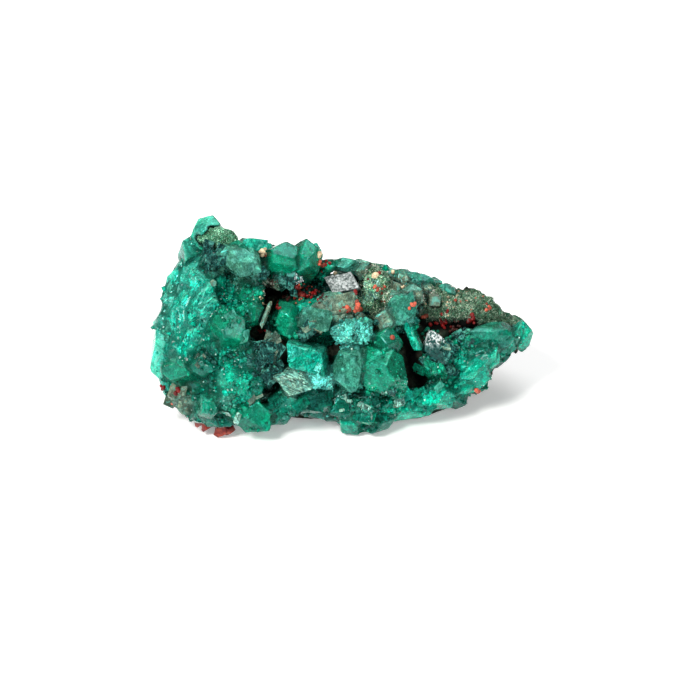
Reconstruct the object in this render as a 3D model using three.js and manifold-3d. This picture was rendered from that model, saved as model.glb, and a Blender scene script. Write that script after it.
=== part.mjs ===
// A dioptase specimen, 58 mm long: green crystals grown together in a thick crust over a dark matrix rock.
//
// The crust is one solid, because its crystals grew through each other. Crystals that stand free of it in
// the hollows or on the bare matrix are solids of their own, each rooted in a socket with a little clearance.
//
// Units are millimetres, +Z up. The specimen is laid out on its display face, a plane that leans back from
// the vertical: u runs along it to the right (+X), v runs up it, and n stands out of it.

import * as THREE from "three";
import { ConvexGeometry } from "three/addons/geometries/ConvexGeometry.js";
import { ImprovedNoise } from "three/addons/math/ImprovedNoise.js";
import { mergeVertices } from "three/addons/utils/BufferGeometryUtils.js";
import Module from "manifold-3d";

const wasm = await Module();
wasm.setup();

// ---- Driving dimensions ----

const LEAN = THREE.MathUtils.degToRad(32); // how far the display face leans back
const FACE_RISE = 13.4; // height of the display face's middle above the surface the specimen stands on
const SOCKET_GAP = 0.32; // clearance between a solid and the socket it is rooted in
const ROCK_SWELL = 0.5; // how much the rock is swollen to cut its socket: the clearance is less on its slopes
const WELD = 1e-3; // points closer than this are one point
const FINEST = 0.08; // slivers thinner than this are merged into their neighbours

// The specimen's outline on the display face and its relief: [u, lowest v, highest v, depth n of the
// middle plane, how far the crystals' centres bulge out of that plane half way up].
const RELIEF = [
  [-29.5, -4.0, -1.0, -1.0, 0.0],
  [-27.5, -9.0, 4.5, -1.0, 1.6],
  [-24.0, -12.8, 12.8, -0.8, 3.2],
  [-20.0, -15.2, 16.8, -0.6, 4.4],
  [-15.0, -14.8, 13.9, -0.6, 4.8],
  [-9.0, -14.1, 13.4, -1.0, 3.6],
  [-3.0, -13.2, 11.8, -1.2, 4.2],
  [3.0, -15.2, 9.9, -1.6, 5.0],
  [9.0, -13.4, 9.0, -2.4, 4.0],
  [15.0, -11.8, 7.4, -3.6, 2.8],
  [21.0, -7.8, 5.4, -5.0, 2.4],
  [25.5, -3.2, 2.6, -6.2, 1.6],
  [28.5, -1.4, 0.4, -6.6, 0.0],
];

// ---- The crystals ----

// Each row of a habit is one crystal: [u, v, lift of its centre from the relief, half its width, half its
// height, half its depth, its turn on the display face in degrees].
const CRUST = {
  // Massive crystal underneath, from which the others grow.
  nugget: [
    [-20.5, 3.0, -4.6, 5.6, 9.4, 4.6, 6],
    [-19.0, -7.0, -4.6, 6.6, 5.6, 4.6, -12],
    [-8.0, -8.4, -4.6, 8.0, 4.6, 4.4, 4],
    [-9.5, 9.2, -4.8, 5.4, 3.0, 3.4, -4],
    [-3.5, 0.8, -4.4, 7.6, 5.0, 4.0, -10],
    [3.4, -7.4, -4.6, 6.6, 6.2, 4.6, 0],
    [8.5, -11.2, -0.8, 6.0, 2.3, 2.6, 16],
    [16.6, -6.0, -1.6, 7.4, 2.9, 3.0, 32],
    [22.6, -1.8, -0.8, 5.0, 2.0, 2.4, 30],
    [7.4, 1.6, -2.2, 4.2, 2.6, 2.2, -16],
    [4.0, 7.0, -3.8, 6.0, 2.8, 2.8, -6],
    // Rounded and broken crystals of the left mass.
    [-20.5, 14.7, 0.6, 2.2, 2.7, 2.3, -48],
    [-27.4, -4.3, 0.4, 1.6, 4.2, 2.8, 4],
    [-24.2, -5.9, 0.8, 3.0, 2.4, 2.4, -24],
    [-17.1, 0.1, 1.0, 2.9, 2.9, 2.6, 10],
    [-13.8, 5.1, 0.9, 1.9, 1.7, 1.7, -20],
    [-13.8, 2.5, 0.6, 2.0, 1.9, 1.9, 35],
    [-22.6, -1.9, 0.4, 2.4, 2.4, 1.8, 40],
    [-20.4, -11.1, 1.6, 2.0, 1.9, 1.9, 15],
    [-16.2, -7.4, 0.9, 2.9, 2.3, 2.3, -18],
    [-19.1, -13.0, 0.4, 2.9, 1.6, 2.0, -10],
    [-14.0, -12.8, 1.2, 3.3, 2.3, 2.3, 6],
    // The large rounded crystals in the middle, and the ones below them.
    [5.9, -5.9, 1.8, 3.3, 3.5, 3.2, 12],
    [6.2, -2.0, 1.0, 2.4, 2.1, 2.0, -30],
    [0.8, -5.4, 1.2, 2.4, 3.5, 2.6, -6],
    [-3.8, -6.9, 1.6, 2.0, 2.3, 1.9, 20],
    [-8.7, 1.2, 0.6, 1.8, 3.0, 1.7, 8],
    [-9.3, 10.8, 1.8, 2.7, 2.3, 2.4, 12],
    [-5.9, 10.6, 1.6, 2.3, 2.5, 2.2, -18],
    // The right flank's broad smooth crystals, out to the tip.
    [21.6, -0.8, 1.0, 4.9, 1.9, 2.4, 12],
    [26.9, -0.3, 0.9, 1.6, 2.2, 1.8, -20],
    [19.0, -6.4, 1.0, 3.7, 2.5, 2.6, 30],
    [13.6, -9.8, 1.0, 2.9, 2.1, 2.2, 16],
    [23.0, -3.7, 1.0, 2.6, 1.5, 2.0, 36],
  ],
  // Six-sided prisms closed by three faces at each end.
  prism: [
    // Left mass, down the left edge.
    [-23.1, 11.6, 0.4, 1.7, 3.4, 2.3, -24],
    [-24.9, 7.8, 0.2, 1.7, 2.7, 2.2, -20],
    [-25.9, 4.6, 0.4, 1.8, 2.3, 2.0, 30],
    [-27.1, 1.4, 0.3, 1.6, 2.4, 2.0, -8],
    [-24.2, 1.9, 1.0, 1.9, 3.2, 1.9, -26],
    [-21.9, 6.9, 0.9, 2.3, 2.6, 2.0, 28],
    [-20.4, 3.4, 1.1, 2.4, 2.0, 2.0, 64],
    [-19.4, 10.9, 0.4, 2.6, 2.2, 2.1, 12],
    [-14.4, 9.8, 1.4, 3.0, 3.7, 3.0, 48],
    [-14.2, 12.3, -0.4, 1.6, 2.4, 2.0, 82],
    [-21.3, -5.0, 1.6, 1.9, 2.4, 1.9, 62],
    [-19.7, -2.4, 1.4, 1.4, 1.6, 1.4, -30],
    [-24.2, -9.8, 0.8, 1.4, 1.6, 1.4, 30],
    [-24.2, -11.2, 0.6, 1.5, 1.6, 1.4, 80],
    [-26.3, -8.3, -0.8, 1.5, 2.1, 1.6, 40],
    [-22.2, -12.3, 0.6, 1.5, 1.8, 1.4, -34],
    [-17.4, -9.9, 1.6, 1.4, 1.6, 1.4, 40],
    [-13.3, -8.3, 1.8, 1.7, 1.6, 1.6, 30],
    // Round behind the left end and the top.
    [-23.8, 8.4, -4.2, 2.0, 2.8, 2.2, -20],
    [-25.6, 2.4, -4.0, 1.9, 2.6, 2.2, 10],
    [-25.4, -3.6, -4.6, 2.0, 2.7, 2.2, -14],
    [-23.4, -9.0, -4.6, 2.0, 2.4, 2.2, 30],
    [-20.8, 12.4, -2.6, 2.2, 2.4, 2.2, 16],
    [-11.2, 11.0, -2.8, 2.0, 1.9, 2.0, 24],
    // Upper middle.
    [-4.7, 11.7, 0.6, 1.4, 1.3, 1.3, 60],
    [-11.8, 12.0, -0.6, 1.2, 1.5, 1.3, 20],
    [-9.6, 7.4, 0.2, 1.5, 1.8, 1.5, 0],
    [-7.3, 7.5, 0.0, 1.4, 1.6, 1.4, 30],
    [-2.6, 9.4, -0.8, 1.2, 2.0, 1.5, 78],
    [0.2, 9.6, -0.6, 1.3, 2.6, 1.6, 84],
    [3.0, 9.0, -0.8, 1.2, 2.0, 1.5, 96],
    [8.6, 8.2, -1.0, 1.1, 1.8, 1.4, 80],
    // The ridge.
    [-4.7, 1.2, 1.2, 2.4, 2.4, 2.4, -35],
    [-1.0, 3.4, 1.2, 2.6, 3.4, 2.2, 66],
    [8.6, 3.3, 0.6, 2.6, 3.0, 1.9, 20],
    [6.0, 1.4, 0.6, 1.8, 2.0, 1.6, -20],
    [0.2, -0.8, 1.6, 1.8, 2.3, 2.0, 55],
    [2.6, 0.2, 1.0, 1.6, 1.8, 1.6, -25],
    // Dark crystals between the left mass and the middle blocks.
    [-12.0, -3.0, 0.8, 1.9, 2.4, 2.0, -40],
    [-14.4, -4.7, 1.0, 1.5, 2.0, 1.6, 60],
    [-11.6, -6.6, 1.2, 1.6, 1.8, 1.6, 10],
    // The belt along the lower edge.
    [-9.0, -10.6, 1.0, 2.2, 3.6, 2.2, 78],
    [-3.9, -10.3, 1.2, 1.9, 2.1, 1.9, 18],
    [-10.4, -12.7, 0.6, 1.6, 2.6, 1.8, -80],
    [-0.6, -11.6, 0.8, 1.9, 2.5, 1.9, -66],
    [0.5, -13.9, 1.2, 1.6, 2.3, 1.7, 35],
    [2.9, -11.6, 1.0, 1.9, 2.2, 1.9, 30],
    [5.0, -13.9, 1.0, 1.4, 2.7, 1.7, -74],
    [16.8, -10.4, 0.4, 1.5, 2.2, 1.6, -64],
    // Right flank.
    [13.4, -5.4, 1.2, 2.2, 2.7, 2.2, 40],
    [16.4, -3.4, 0.6, 1.8, 2.4, 1.9, -50],
    [18.3, -1.4, 0.6, 1.8, 2.6, 1.9, 70],
    [20.1, -8.4, 0.8, 1.3, 2.0, 1.5, -56],
  ],
  // Blocks broken along the cleavage.
  block: [
    [-5.4, -3.9, 2.0, 2.9, 1.7, 2.0, -10],
    [-8.1, -7.4, 2.2, 1.7, 1.8, 1.5, 24],
    [10.3, -1.2, 1.2, 0.6, 1.9, 1.3, 20],
  ],
};

// Crystals that stand free, each a solid in its own socket, in the same terms as the crust's rows.
const FREE_CRYSTALS = [
  { name: "moss_capped_crystal", habit: "nugget", row: [-18.8, 13.6, 1.6, 2.7, 1.7, 2.0, -6], look: "moss" },
  { name: "speckled_crystal", habit: "block", row: [-0.5, 7.0, -0.7, 2.2, 1.6, 2.4, -8], look: "pale" },
  { name: "blade_crystal", habit: "block", row: [-11.7, 2.3, 1.8, 0.3, 2.0, 1.1, -22], look: "pale" },
  { name: "lace_crystal", habit: "block", row: [13.6, -2.6, 1.2, 2.0, 1.6, 1.6, -30], look: "dark" },
  { name: "slope_crystal_1", habit: "prism", row: [7.6, 6.3, -1.1, 1.3, 1.2, 1.2, 20], look: "dark" },
  { name: "slope_crystal_2", habit: "prism", row: [10.2, 5.4, -1.4, 1.3, 1.4, 1.3, 0], look: "dark" },
  { name: "slope_crystal_3", habit: "prism", row: [13.3, 4.6, 0.0, 1.1, 1.3, 1.2, 40], look: "dark" },
  { name: "slope_crystal_4", habit: "prism", row: [12.0, 7.2, -2.2, 1.2, 2.0, 1.4, 76], look: "green" },
  { name: "slope_crystal_5", habit: "prism", row: [15.4, 6.0, -2.1, 1.0, 1.4, 1.2, 60], look: "green" },
];

// Bunches of small red or cream crystals: [u, v, lift, half size] of each.
const ACCESSORY_BUNCHES = [
  {
    name: "red_crystals_hollow",
    grains: [[-6.9, 5.5, -1.4, 0.62], [-6.2, 5.2, -1.3, 0.5], [-7.4, 5.0, -1.5, 0.45]],
  },
  {
    name: "red_crystals_ridge",
    grains: [[-0.8, 3.0, 2.8, 0.55], [-0.1, 3.4, 2.9, 0.55], [0.5, 3.0, 2.8, 0.5], [-0.1, 4.1, 2.7, 0.5]],
  },
  {
    name: "red_crystals_left_edge",
    grains: [[-25.0, -8.8, 0.8, 0.8], [-25.8, -8.9, 0.5, 0.7], [-24.4, -8.7, 0.9, 0.6]],
  },
  { name: "red_crystals_left_foot", grains: [[-21.6, -13.4, 0.6, 1.1], [-20.8, -14.3, 0.6, 0.8]] },
  { name: "red_crystals_foot", grains: [[-18.4, -14.8, 0.9, 1.2], [-17.3, -14.8, 1.0, 0.9]] },
];

// ---- Matrix rock ----

// Cross-sections of the matrix at each u: [u, lowest v, highest v, rearmost n, foremost n].
const MATRIX = [
  [-25.4, -7.0, 2.0, -5.0, -1.0],
  [-23.0, -12.0, 7.0, -8.5, -0.6],
  [-18.0, -15.0, 10.5, -11.5, -0.6],
  [-12.0, -15.0, 9.4, -13.0, -1.2],
  [-6.0, -15.0, 8.4, -13.6, -1.4],
  [0.0, -15.6, 8.6, -14.0, 0.2],
  [6.0, -15.6, 9.0, -14.0, 1.0],
  [11.0, -14.6, 8.0, -13.8, -0.4],
  [16.0, -11.6, 6.9, -13.4, -1.8],
  [20.5, -8.2, 5.9, -12.4, -3.2],
  [24.0, -4.6, 4.0, -10.8, -4.6],
  [26.6, -1.6, 2.0, -9.0, -5.8],
];
// Ledges and knobs of the rock, in the crystals' terms: the slope above the hollow, and the column beside it.
const ROCK_LUMPS = [
  [14.0, 3.2, -2.6, 6.6, 2.6, 2.8, -13],
  [20.6, 2.2, -2.4, 5.4, 2.2, 2.6, -26],
  [4.8, 5.6, -2.2, 2.4, 3.2, 2.6, 4],
];
const END_TAPER = 1.4; // how far the rock's blunt ends come to a point beyond the end sections
const MATRIX_RING = 18; // points round each cross-section
const MATRIX_STEP = 2.6; // distance between the cross-sections that the rows above are resampled to
const MATRIX_ROUGHNESS = 0.75; // how far the rock's lumps and pits stand out of or into it
const MATRIX_GRAIN = 0.23; // lumps per millimetre

// ---- Small helpers ----

/** A repeatable source of random numbers from 0 to 1. */
function randomFrom(seed) {
  let state = seed | 0;
  return () => {
    state = (state + 0x6d2b79f5) | 0;
    let t = Math.imul(state ^ (state >>> 15), 1 | state);
    t = (t + Math.imul(t ^ (t >>> 7), 61 | t)) ^ t;
    return ((t ^ (t >>> 14)) >>> 0) / 4294967296;
  };
}

/** The values of a table's columns at u, between its rows. */
function rowAt(table, u) {
  const after = Math.max(1, table.findIndex((row) => row[0] >= u));
  const last = u > table.at(-1)[0] ? table.length - 1 : after;
  const [a, b] = [table[last - 1], table[last]];
  const share = THREE.MathUtils.clamp((u - a[0]) / (b[0] - a[0]), 0, 1);
  return a.map((value, i) => THREE.MathUtils.lerp(value, b[i], share));
}

/** How far the crystals' centres stand out of the display face at (u, v). */
function relief(u, v) {
  const [, low, high, middle, bulge] = rowAt(RELIEF, u);
  const up = (v - (low + high) / 2) / ((high - low) / 2);
  return middle + bulge * Math.sqrt(Math.max(0, 1 - up * up));
}

const toWorld = new THREE.Matrix4()
  .makeBasis(
    new THREE.Vector3(1, 0, 0),
    new THREE.Vector3(0, Math.sin(LEAN), Math.cos(LEAN)),
    new THREE.Vector3(0, -Math.cos(LEAN), Math.sin(LEAN)),
  )
  .setPosition(0, 0, FACE_RISE);

/** A closed BufferGeometry as a manifold-3d solid. */
function solidFrom(geometry) {
  const bare = geometry.clone();
  bare.deleteAttribute("normal");
  bare.deleteAttribute("uv");
  const welded = mergeVertices(bare, WELD);
  return new wasm.Manifold(
    new wasm.Mesh({
      numProp: 3,
      vertProperties: welded.attributes.position.array,
      triVerts: new Uint32Array(welded.index.array),
    }),
  );
}

/** A manifold-3d solid as a BufferGeometry with flat faces. */
function geometryFrom(solid) {
  const mesh = solid.getMesh();
  const geometry = new THREE.BufferGeometry()
    .setAttribute("position", new THREE.BufferAttribute(mesh.vertProperties, 3))
    .setIndex(new THREE.BufferAttribute(mesh.triVerts, 1))
    .toNonIndexed();
  geometry.computeVertexNormals();
  return geometry;
}

const joined = (solids) => solids.reduce((sum, solid) => sum.add(solid));

/** The largest body of a solid, without crumbs and without voids sealed inside it. */
const mainBody = (solid) => solid.decompose().sort((a, b) => b.volume() - a.volume())[0];

/** The part of a solid above the surface that the specimen stands on. */
const standing = (solid) => solid.trimByPlane([0, 0, 1], 0);

/** A finished piece: one body, standing on its cut, without slivers. */
const finished = (solid) => mainBody(standing(solid).simplify(FINEST));

// ---- Crystals as sets of faces ----

const direction = (azimuth, fromAxis) =>
  new THREE.Vector3().setFromSphericalCoords(
    1,
    THREE.MathUtils.degToRad(fromAxis),
    THREE.MathUtils.degToRad(azimuth),
  );

const RHOMB_TILT = 51; // between an end face's outward direction and the long axis

const GOLDEN_ANGLE = 180 * (3 - Math.sqrt(5));
/** Directions spread evenly over a sphere, along a spiral that turns by the golden angle. */
const spreadDirections = (count) =>
  Array.from({ length: count }, (_, i) =>
    direction(i * GOLDEN_ANGLE, THREE.MathUtils.radToDeg(Math.acos(1 - (2 * i + 1) / count))),
  );

// The directions that a cleavage block's faces look in, one of each parallel pair: they are a little askew.
const CLEAVAGE = [
  [1, 0.2, 0.1],
  [0.1, 1, 0.16],
  [-0.12, 0.1, 1],
].map((way) => new THREE.Vector3(...way).normalize());

/** Faces at one distance from the centre, as [outward direction, distance]. */
const faces = (distance, ways) => ways.map((way) => [way, distance]);

/** The faces of a crystal whose half size is about 1, its long axis up. */
const HABITS = {
  prism: [
    ...faces(0.88, [0, 60, 120, 180, 240, 300].map((azimuth) => direction(azimuth, 90))),
    ...faces(0.7, [30, 150, 270].map((azimuth) => direction(azimuth, RHOMB_TILT))),
    ...faces(0.7, [90, 210, 330].map((azimuth) => direction(azimuth, 180 - RHOMB_TILT))),
  ],
  block: faces(0.96, CLEAVAGE.flatMap((way) => [way, way.clone().negate()])),
  nugget: faces(0.9, spreadDirections(11)),
  grain: faces(0.75, spreadDirections(7)),
};

const GROWTH_SPREAD = 0.13; // how unevenly faces have grown, as a share of the half size
const CHIPS = { prism: 0, block: 2, nugget: 1, grain: 0 }; // broken corners
const CHIP_DEPTH = { block: 1.2, nugget: 0.84 }; // their least distance from the centre
const CHIP_SPREAD = 0.1; // how much further out they may lie, as a share

/** The faces of one crystal as planes in the part's frame, by its half size and its turns in degrees. */
function crystalPlanes(habit, centre, half, turn, random) {
  const place = new THREE.Matrix4().compose(
    centre,
    new THREE.Quaternion().setFromEuler(new THREE.Euler(...turn.map(THREE.MathUtils.degToRad), "ZXY")),
    half,
  );
  const matrix = toWorld.clone().multiply(place);
  const grown = HABITS[habit].map(([way, distance]) => [
    way,
    distance * (1 + GROWTH_SPREAD * (2 * random() - 1)),
  ]);
  for (let i = 0; i < CHIPS[habit]; i++) {
    const way = direction(360 * random(), THREE.MathUtils.radToDeg(Math.acos(2 * random() - 1)));
    grown.push([way, CHIP_DEPTH[habit] * (1 + CHIP_SPREAD * random())]);
  }
  return grown.map(([way, distance]) => new THREE.Plane(way.clone(), -distance).applyMatrix4(matrix));
}

/** The convex solid between planes, each moved out by grown. */
function convexSolid(planes, grown = 0) {
  const moved = planes.map((plane) => new THREE.Plane(plane.normal, plane.constant - grown));
  const corners = [];
  const cross = new THREE.Vector3();
  moved.forEach((a, i) =>
    moved.slice(i + 1).forEach((b, j) => {
      cross.crossVectors(a.normal, b.normal);
      moved.slice(i + j + 2).forEach((c) => {
        const det = c.normal.dot(cross);
        if (Math.abs(det) < 1e-9) return;
        const corner = cross
          .clone()
          .multiplyScalar(-c.constant)
          .addScaledVector(new THREE.Vector3().crossVectors(b.normal, c.normal), -a.constant)
          .addScaledVector(new THREE.Vector3().crossVectors(c.normal, a.normal), -b.constant)
          .divideScalar(det);
        const inside = moved.every((plane) => plane.distanceToPoint(corner) < 1e-6);
        if (inside && corners.every((other) => other.distanceTo(corner) > WELD)) corners.push(corner);
      });
    }),
  );
  return solidFrom(new ConvexGeometry(corners));
}

// The most that a crystal's two unstated turns depart from upright, in degrees.
const LOOSE_TURN = { prism: 32, block: 14, nugget: 32, grain: 32 };

/** The planes of the crystal that a table row describes. */
function planesOf(habit, [u, v, lift, wide, high, deep, turn], random) {
  const loose = () => LOOSE_TURN[habit] * (2 * random() - 1);
  const centre = new THREE.Vector3(u, v, relief(u, v) + lift);
  return crystalPlanes(habit, centre, new THREE.Vector3(wide, high, deep), [loose(), loose(), turn], random);
}

// ---- The matrix rock ----

/** The length of the rock as rings of points, closed by a point at each end and swollen by grown. */
function rockGeometry(grown) {
  const noise = new ImprovedNoise();
  const [first, last] = [MATRIX[0][0], MATRIX.at(-1)[0]];
  const rings = Math.round((last - first) / MATRIX_STEP);
  const points = [];
  const roughened = (u, v, n) => {
    const at = [u, v, n].map((value) => value * MATRIX_GRAIN);
    const push = [0, 7, 13].map((shift) => noise.noise(at[0] + shift, at[1] - shift, at[2]));
    return [u + push[0], v + push[1] * 2 * MATRIX_ROUGHNESS, n + push[2] * 2 * MATRIX_ROUGHNESS];
  };
  for (let ring = 0; ring <= rings; ring++) {
    const u = first + ((last - first) * ring) / rings;
    const [, low, high, rear, front] = rowAt(MATRIX, u);
    for (let i = 0; i < MATRIX_RING; i++) {
      const angle = (2 * Math.PI * (i + (ring % 2) / 2)) / MATRIX_RING;
      const [x, v, n] = roughened(
        u,
        (low + high) / 2 + ((high - low) / 2) * Math.sin(angle),
        (rear + front) / 2 - ((front - rear) / 2) * Math.cos(angle),
      );
      points.push([x, v + grown * Math.sin(angle), n - grown * Math.cos(angle)]);
    }
  }
  const tip = ([u, low, high, rear, front], way) => [
    u + way * (END_TAPER + 2 * grown),
    (low + high) / 2,
    (rear + front) / 2,
  ];
  points.push(tip(MATRIX[0], -1), tip(MATRIX.at(-1), 1));
  const corners = [];
  const [startTip, endTip] = [points.length - 2, points.length - 1];
  for (let i = 0; i < MATRIX_RING; i++) {
    const next = (i + 1) % MATRIX_RING;
    for (let ring = 0; ring < rings; ring++) {
      const a = ring * MATRIX_RING;
      const b = a + MATRIX_RING;
      if (ring % 2) corners.push(a + i, a + next, b + next, a + i, b + next, b + i);
      else corners.push(a + i, a + next, b + i, a + next, b + next, b + i);
    }
    const end = rings * MATRIX_RING;
    corners.push(startTip, next, i, endTip, end + i, end + next);
  }
  return new THREE.BufferGeometry()
    .setAttribute("position", new THREE.Float32BufferAttribute(points.flat(), 3))
    .setIndex(corners)
    .applyMatrix4(toWorld);
}

// ---- The crust ----

const random = randomFrom(20);
const crustPlanes = Object.entries(CRUST).flatMap(([habit, rows]) =>
  rows.map((row) => planesOf(habit, row, random)),
);
const bareCrust = joined(crustPlanes.map((planes) => convexSolid(planes)));

// ---- Free crystals and bunches ----

const freeCrystals = FREE_CRYSTALS.map(({ name, habit, row, look }) => ({
  name,
  look,
  planes: [planesOf(habit, row, random)],
}));

const bunches = ACCESSORY_BUNCHES.map(({ name, grains }) => ({
  name,
  look: "red",
  planes: grains.map(([u, v, lift, size]) => planesOf("grain", [u, v, lift, size, size, size, 0], random)),
}));

const free = [...freeCrystals, ...bunches].map((piece) => ({
  ...piece,
  solid: standing(joined(piece.planes.map((planes) => convexSolid(planes)))),
  socket: joined(piece.planes.map((planes) => convexSolid(planes, SOCKET_GAP))),
}));
const sockets = joined(free.map(({ socket }) => socket));

const lumpPlanes = ROCK_LUMPS.map((row) => planesOf("nugget", row, random));

/** The rock before any crystal is rooted in it, swollen by grown. */
const rockSolid = (grown = 0) =>
  joined([solidFrom(rockGeometry(grown)), ...lumpPlanes.map((planes) => convexSolid(planes, grown))]);

const rock = rockSolid();
const rockSocket = rockSolid(ROCK_SWELL);

const crust = finished(bareCrust.subtract(rockSocket).subtract(sockets));
const matrix = finished(rock.subtract(sockets));

// ---- The specimen ----

const LOOKS = {
  green: { color: 0x0c8f6f, roughness: 0.3 },
  dark: { color: 0x2f5f55, roughness: 0.35 },
  pale: { color: 0xb9c4c1, roughness: 0.4 },
  moss: { color: 0x5a7a55, roughness: 0.9 },
  red: { color: 0xb0392b, roughness: 0.5 },
  rock: { color: 0x3b4436, roughness: 0.95 },
};

function pieceMesh(name, solid, look) {
  const mesh = new THREE.Mesh(
    geometryFrom(solid),
    new THREE.MeshStandardMaterial({ ...LOOKS[look], metalness: 0, flatShading: true }),
  );
  mesh.name = name;
  return mesh;
}

const specimen = new THREE.Group();
specimen.add(
  pieceMesh("matrix", matrix, "rock"),
  pieceMesh("dioptase_crust", crust, "green"),
  ...free.map(({ name, solid, look }) => pieceMesh(name, solid, look)),
);

// The origin is under the middle of the specimen's box, on the surface it stands on.
const box = new THREE.Box3().setFromObject(specimen);
const middle = box.getCenter(new THREE.Vector3());
specimen.position.set(-middle.x, -middle.y, 0);

export default specimen;
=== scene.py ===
"""The looks of a dioptase specimen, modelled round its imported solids.

Meshes are worked out in millimetres and scaled to the frame's metres by MM at the end. The display face is
the plane that leans back behind the crystals: u runs along it to the right, v up it, and n stands out of it.
"""

import itertools
import math

import bpy
import numpy as np
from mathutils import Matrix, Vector
from mathutils.bvhtree import BVHTree


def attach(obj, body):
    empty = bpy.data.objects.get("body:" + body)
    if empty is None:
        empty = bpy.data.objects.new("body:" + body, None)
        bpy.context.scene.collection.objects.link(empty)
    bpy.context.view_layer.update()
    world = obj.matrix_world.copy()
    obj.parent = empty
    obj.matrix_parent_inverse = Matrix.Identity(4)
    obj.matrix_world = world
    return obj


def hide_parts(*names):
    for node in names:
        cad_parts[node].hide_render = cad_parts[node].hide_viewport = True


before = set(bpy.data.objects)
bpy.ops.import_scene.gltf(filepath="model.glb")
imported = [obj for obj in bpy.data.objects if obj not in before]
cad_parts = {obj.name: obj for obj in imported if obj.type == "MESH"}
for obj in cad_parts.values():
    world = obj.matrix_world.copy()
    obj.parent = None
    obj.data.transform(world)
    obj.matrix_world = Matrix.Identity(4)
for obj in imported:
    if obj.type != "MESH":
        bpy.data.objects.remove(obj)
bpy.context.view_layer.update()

MM = 0.001

# ---- The display face: how far it leans back, its directions and its origin ----

LEAN = math.radians(32)
RIGHT = np.array([1.0, 0.0, 0.0])
UP = np.array([0.0, math.sin(LEAN), math.cos(LEAN)])
OUT = np.array([0.0, -math.cos(LEAN), math.sin(LEAN)])
MIDDLE = np.array([0.14, -1.14, 13.4])


def on_face(points):
    """The u, v and n of points."""
    away = points - MIDDLE
    return away @ RIGHT, away @ UP, away @ OUT


def off_face(u, v, n):
    """The point at u, v and n, or the points if they are arrays."""
    return MIDDLE + np.multiply.outer(u, RIGHT) + np.multiply.outer(v, UP) + np.multiply.outer(n, OUT)


# ---- Camera, floor and lights ----

# The camera looks straight onto the display face, at u and v of its aim.
CAMERA_AWAY = 600.0
CAMERA_AIM = (0.75, -3.0)
CAMERA_LENS = 205.7

# Each light: its direction from the specimen, distance, width, power in watts and colour.
LIGHTS = {
    "key": ((-0.62, -0.7, 0.95), 420.0, 140.0, 1.95, (1.0, 0.98, 0.95)),
    "fill": ((0.9, -0.75, 0.5), 480.0, 120.0, 0.35, (0.96, 0.99, 1.0)),
    "top": ((0.1, 0.3, 1.0), 460.0, 330.0, 1.2, (1.0, 1.0, 1.0)),
    "glint": ((0.35, -0.9, 0.75), 500.0, 30.0, 0.12, (1.0, 1.0, 1.0)),
}
WORLD_STRENGTH = 0.18
FLOOR_HALF = 3.0
FLOOR_GLOW = 0.3


def look_at(thing, place, target):
    """Stand a camera or light at a place in millimetres, aimed at another."""
    thing.location = Vector(place * MM)
    thing.rotation_mode = "QUATERNION"
    thing.rotation_quaternion = Vector((target - place) * MM).to_track_quat("-Z", "Y")


def add_object(name, data):
    made = bpy.data.objects.new(name, data)
    bpy.context.scene.collection.objects.link(made)
    return made


def add_camera():
    data = bpy.data.cameras.new("camera")
    data.lens = CAMERA_LENS
    data.sensor_width = 36.0
    data.clip_start = 0.01
    camera = add_object("camera", data)
    target = off_face(*CAMERA_AIM, 0.0)
    look_at(camera, target + CAMERA_AWAY * OUT, target)
    bpy.context.scene.camera = camera


def add_lights():
    for name, (way, away, width, power, colour) in LIGHTS.items():
        data = bpy.data.lights.new(name, "AREA")
        data.energy = power
        data.size = width * MM
        data.color = colour
        place = MIDDLE + np.array(way) / np.linalg.norm(way) * away
        look_at(add_object(name, data), place, MIDDLE)
    world = bpy.data.worlds.new("studio")
    world.use_nodes = True
    world.node_tree.nodes["Background"].inputs["Color"].default_value = (1, 1, 1, 1)
    world.node_tree.nodes["Background"].inputs["Strength"].default_value = WORLD_STRENGTH
    bpy.context.scene.world = world
    bpy.context.scene.view_settings.view_transform = "Standard"


def add_floor():
    mesh = bpy.data.meshes.new("floor")
    corners = [(x * FLOOR_HALF, y * FLOOR_HALF, 0) for x, y in ((-1, -1), (1, -1), (1, 1), (-1, 1))]
    mesh.from_pydata(corners, [], [(0, 1, 2, 3)])
    floor = add_object("floor", mesh)
    paint = Paint("floor_paper")
    paint.set_shader({
        "Base Color": (0.93, 0.93, 0.93, 1),
        "Roughness": 0.9,
        "Emission Color": (1, 1, 1, 1),
        "Emission Strength": FLOOR_GLOW,
    })
    floor.data.materials.append(paint.material)


# ---- Shells: closed triangle meshes as (points, triangles) ----


def cad_shell(node):
    """A CAD node's mesh, its shared corners welded."""
    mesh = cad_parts[node].data
    points, tris = mesh_arrays(mesh)
    welded, index = np.unique((points / MM).round(3), axis=0, return_inverse=True)
    tris = index.reshape(-1)[tris].reshape(-1, 3)
    whole = (tris[:, 0] != tris[:, 1]) & (tris[:, 1] != tris[:, 2]) & (tris[:, 2] != tris[:, 0])
    return welded, tris[whole]


def mesh_arrays(mesh):
    """The points and triangles of a Blender mesh."""
    mesh.calc_loop_triangles()
    points = np.empty(len(mesh.vertices) * 3)
    mesh.vertices.foreach_get("co", points)
    tris = np.empty(len(mesh.loop_triangles) * 3, np.int32)
    mesh.loop_triangles.foreach_get("vertices", tris)
    return points.reshape(-1, 3), tris.reshape(-1, 3)


def face_normals(points, tris):
    """Each triangle's unit normal and area."""
    a, b, c = points[tris[:, 0]], points[tris[:, 1]], points[tris[:, 2]]
    cross = np.cross(b - a, c - a)
    double = np.linalg.norm(cross, axis=1)
    return cross / np.maximum(double, 1e-12)[:, None], double / 2


def point_normals(points, tris):
    """The unit normal at each point, from the triangles round it."""
    normals, areas = face_normals(points, tris)
    total = np.zeros_like(points)
    for corner in range(3):
        np.add.at(total, tris[:, corner], normals * areas[:, None])
    return unit(total)


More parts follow.
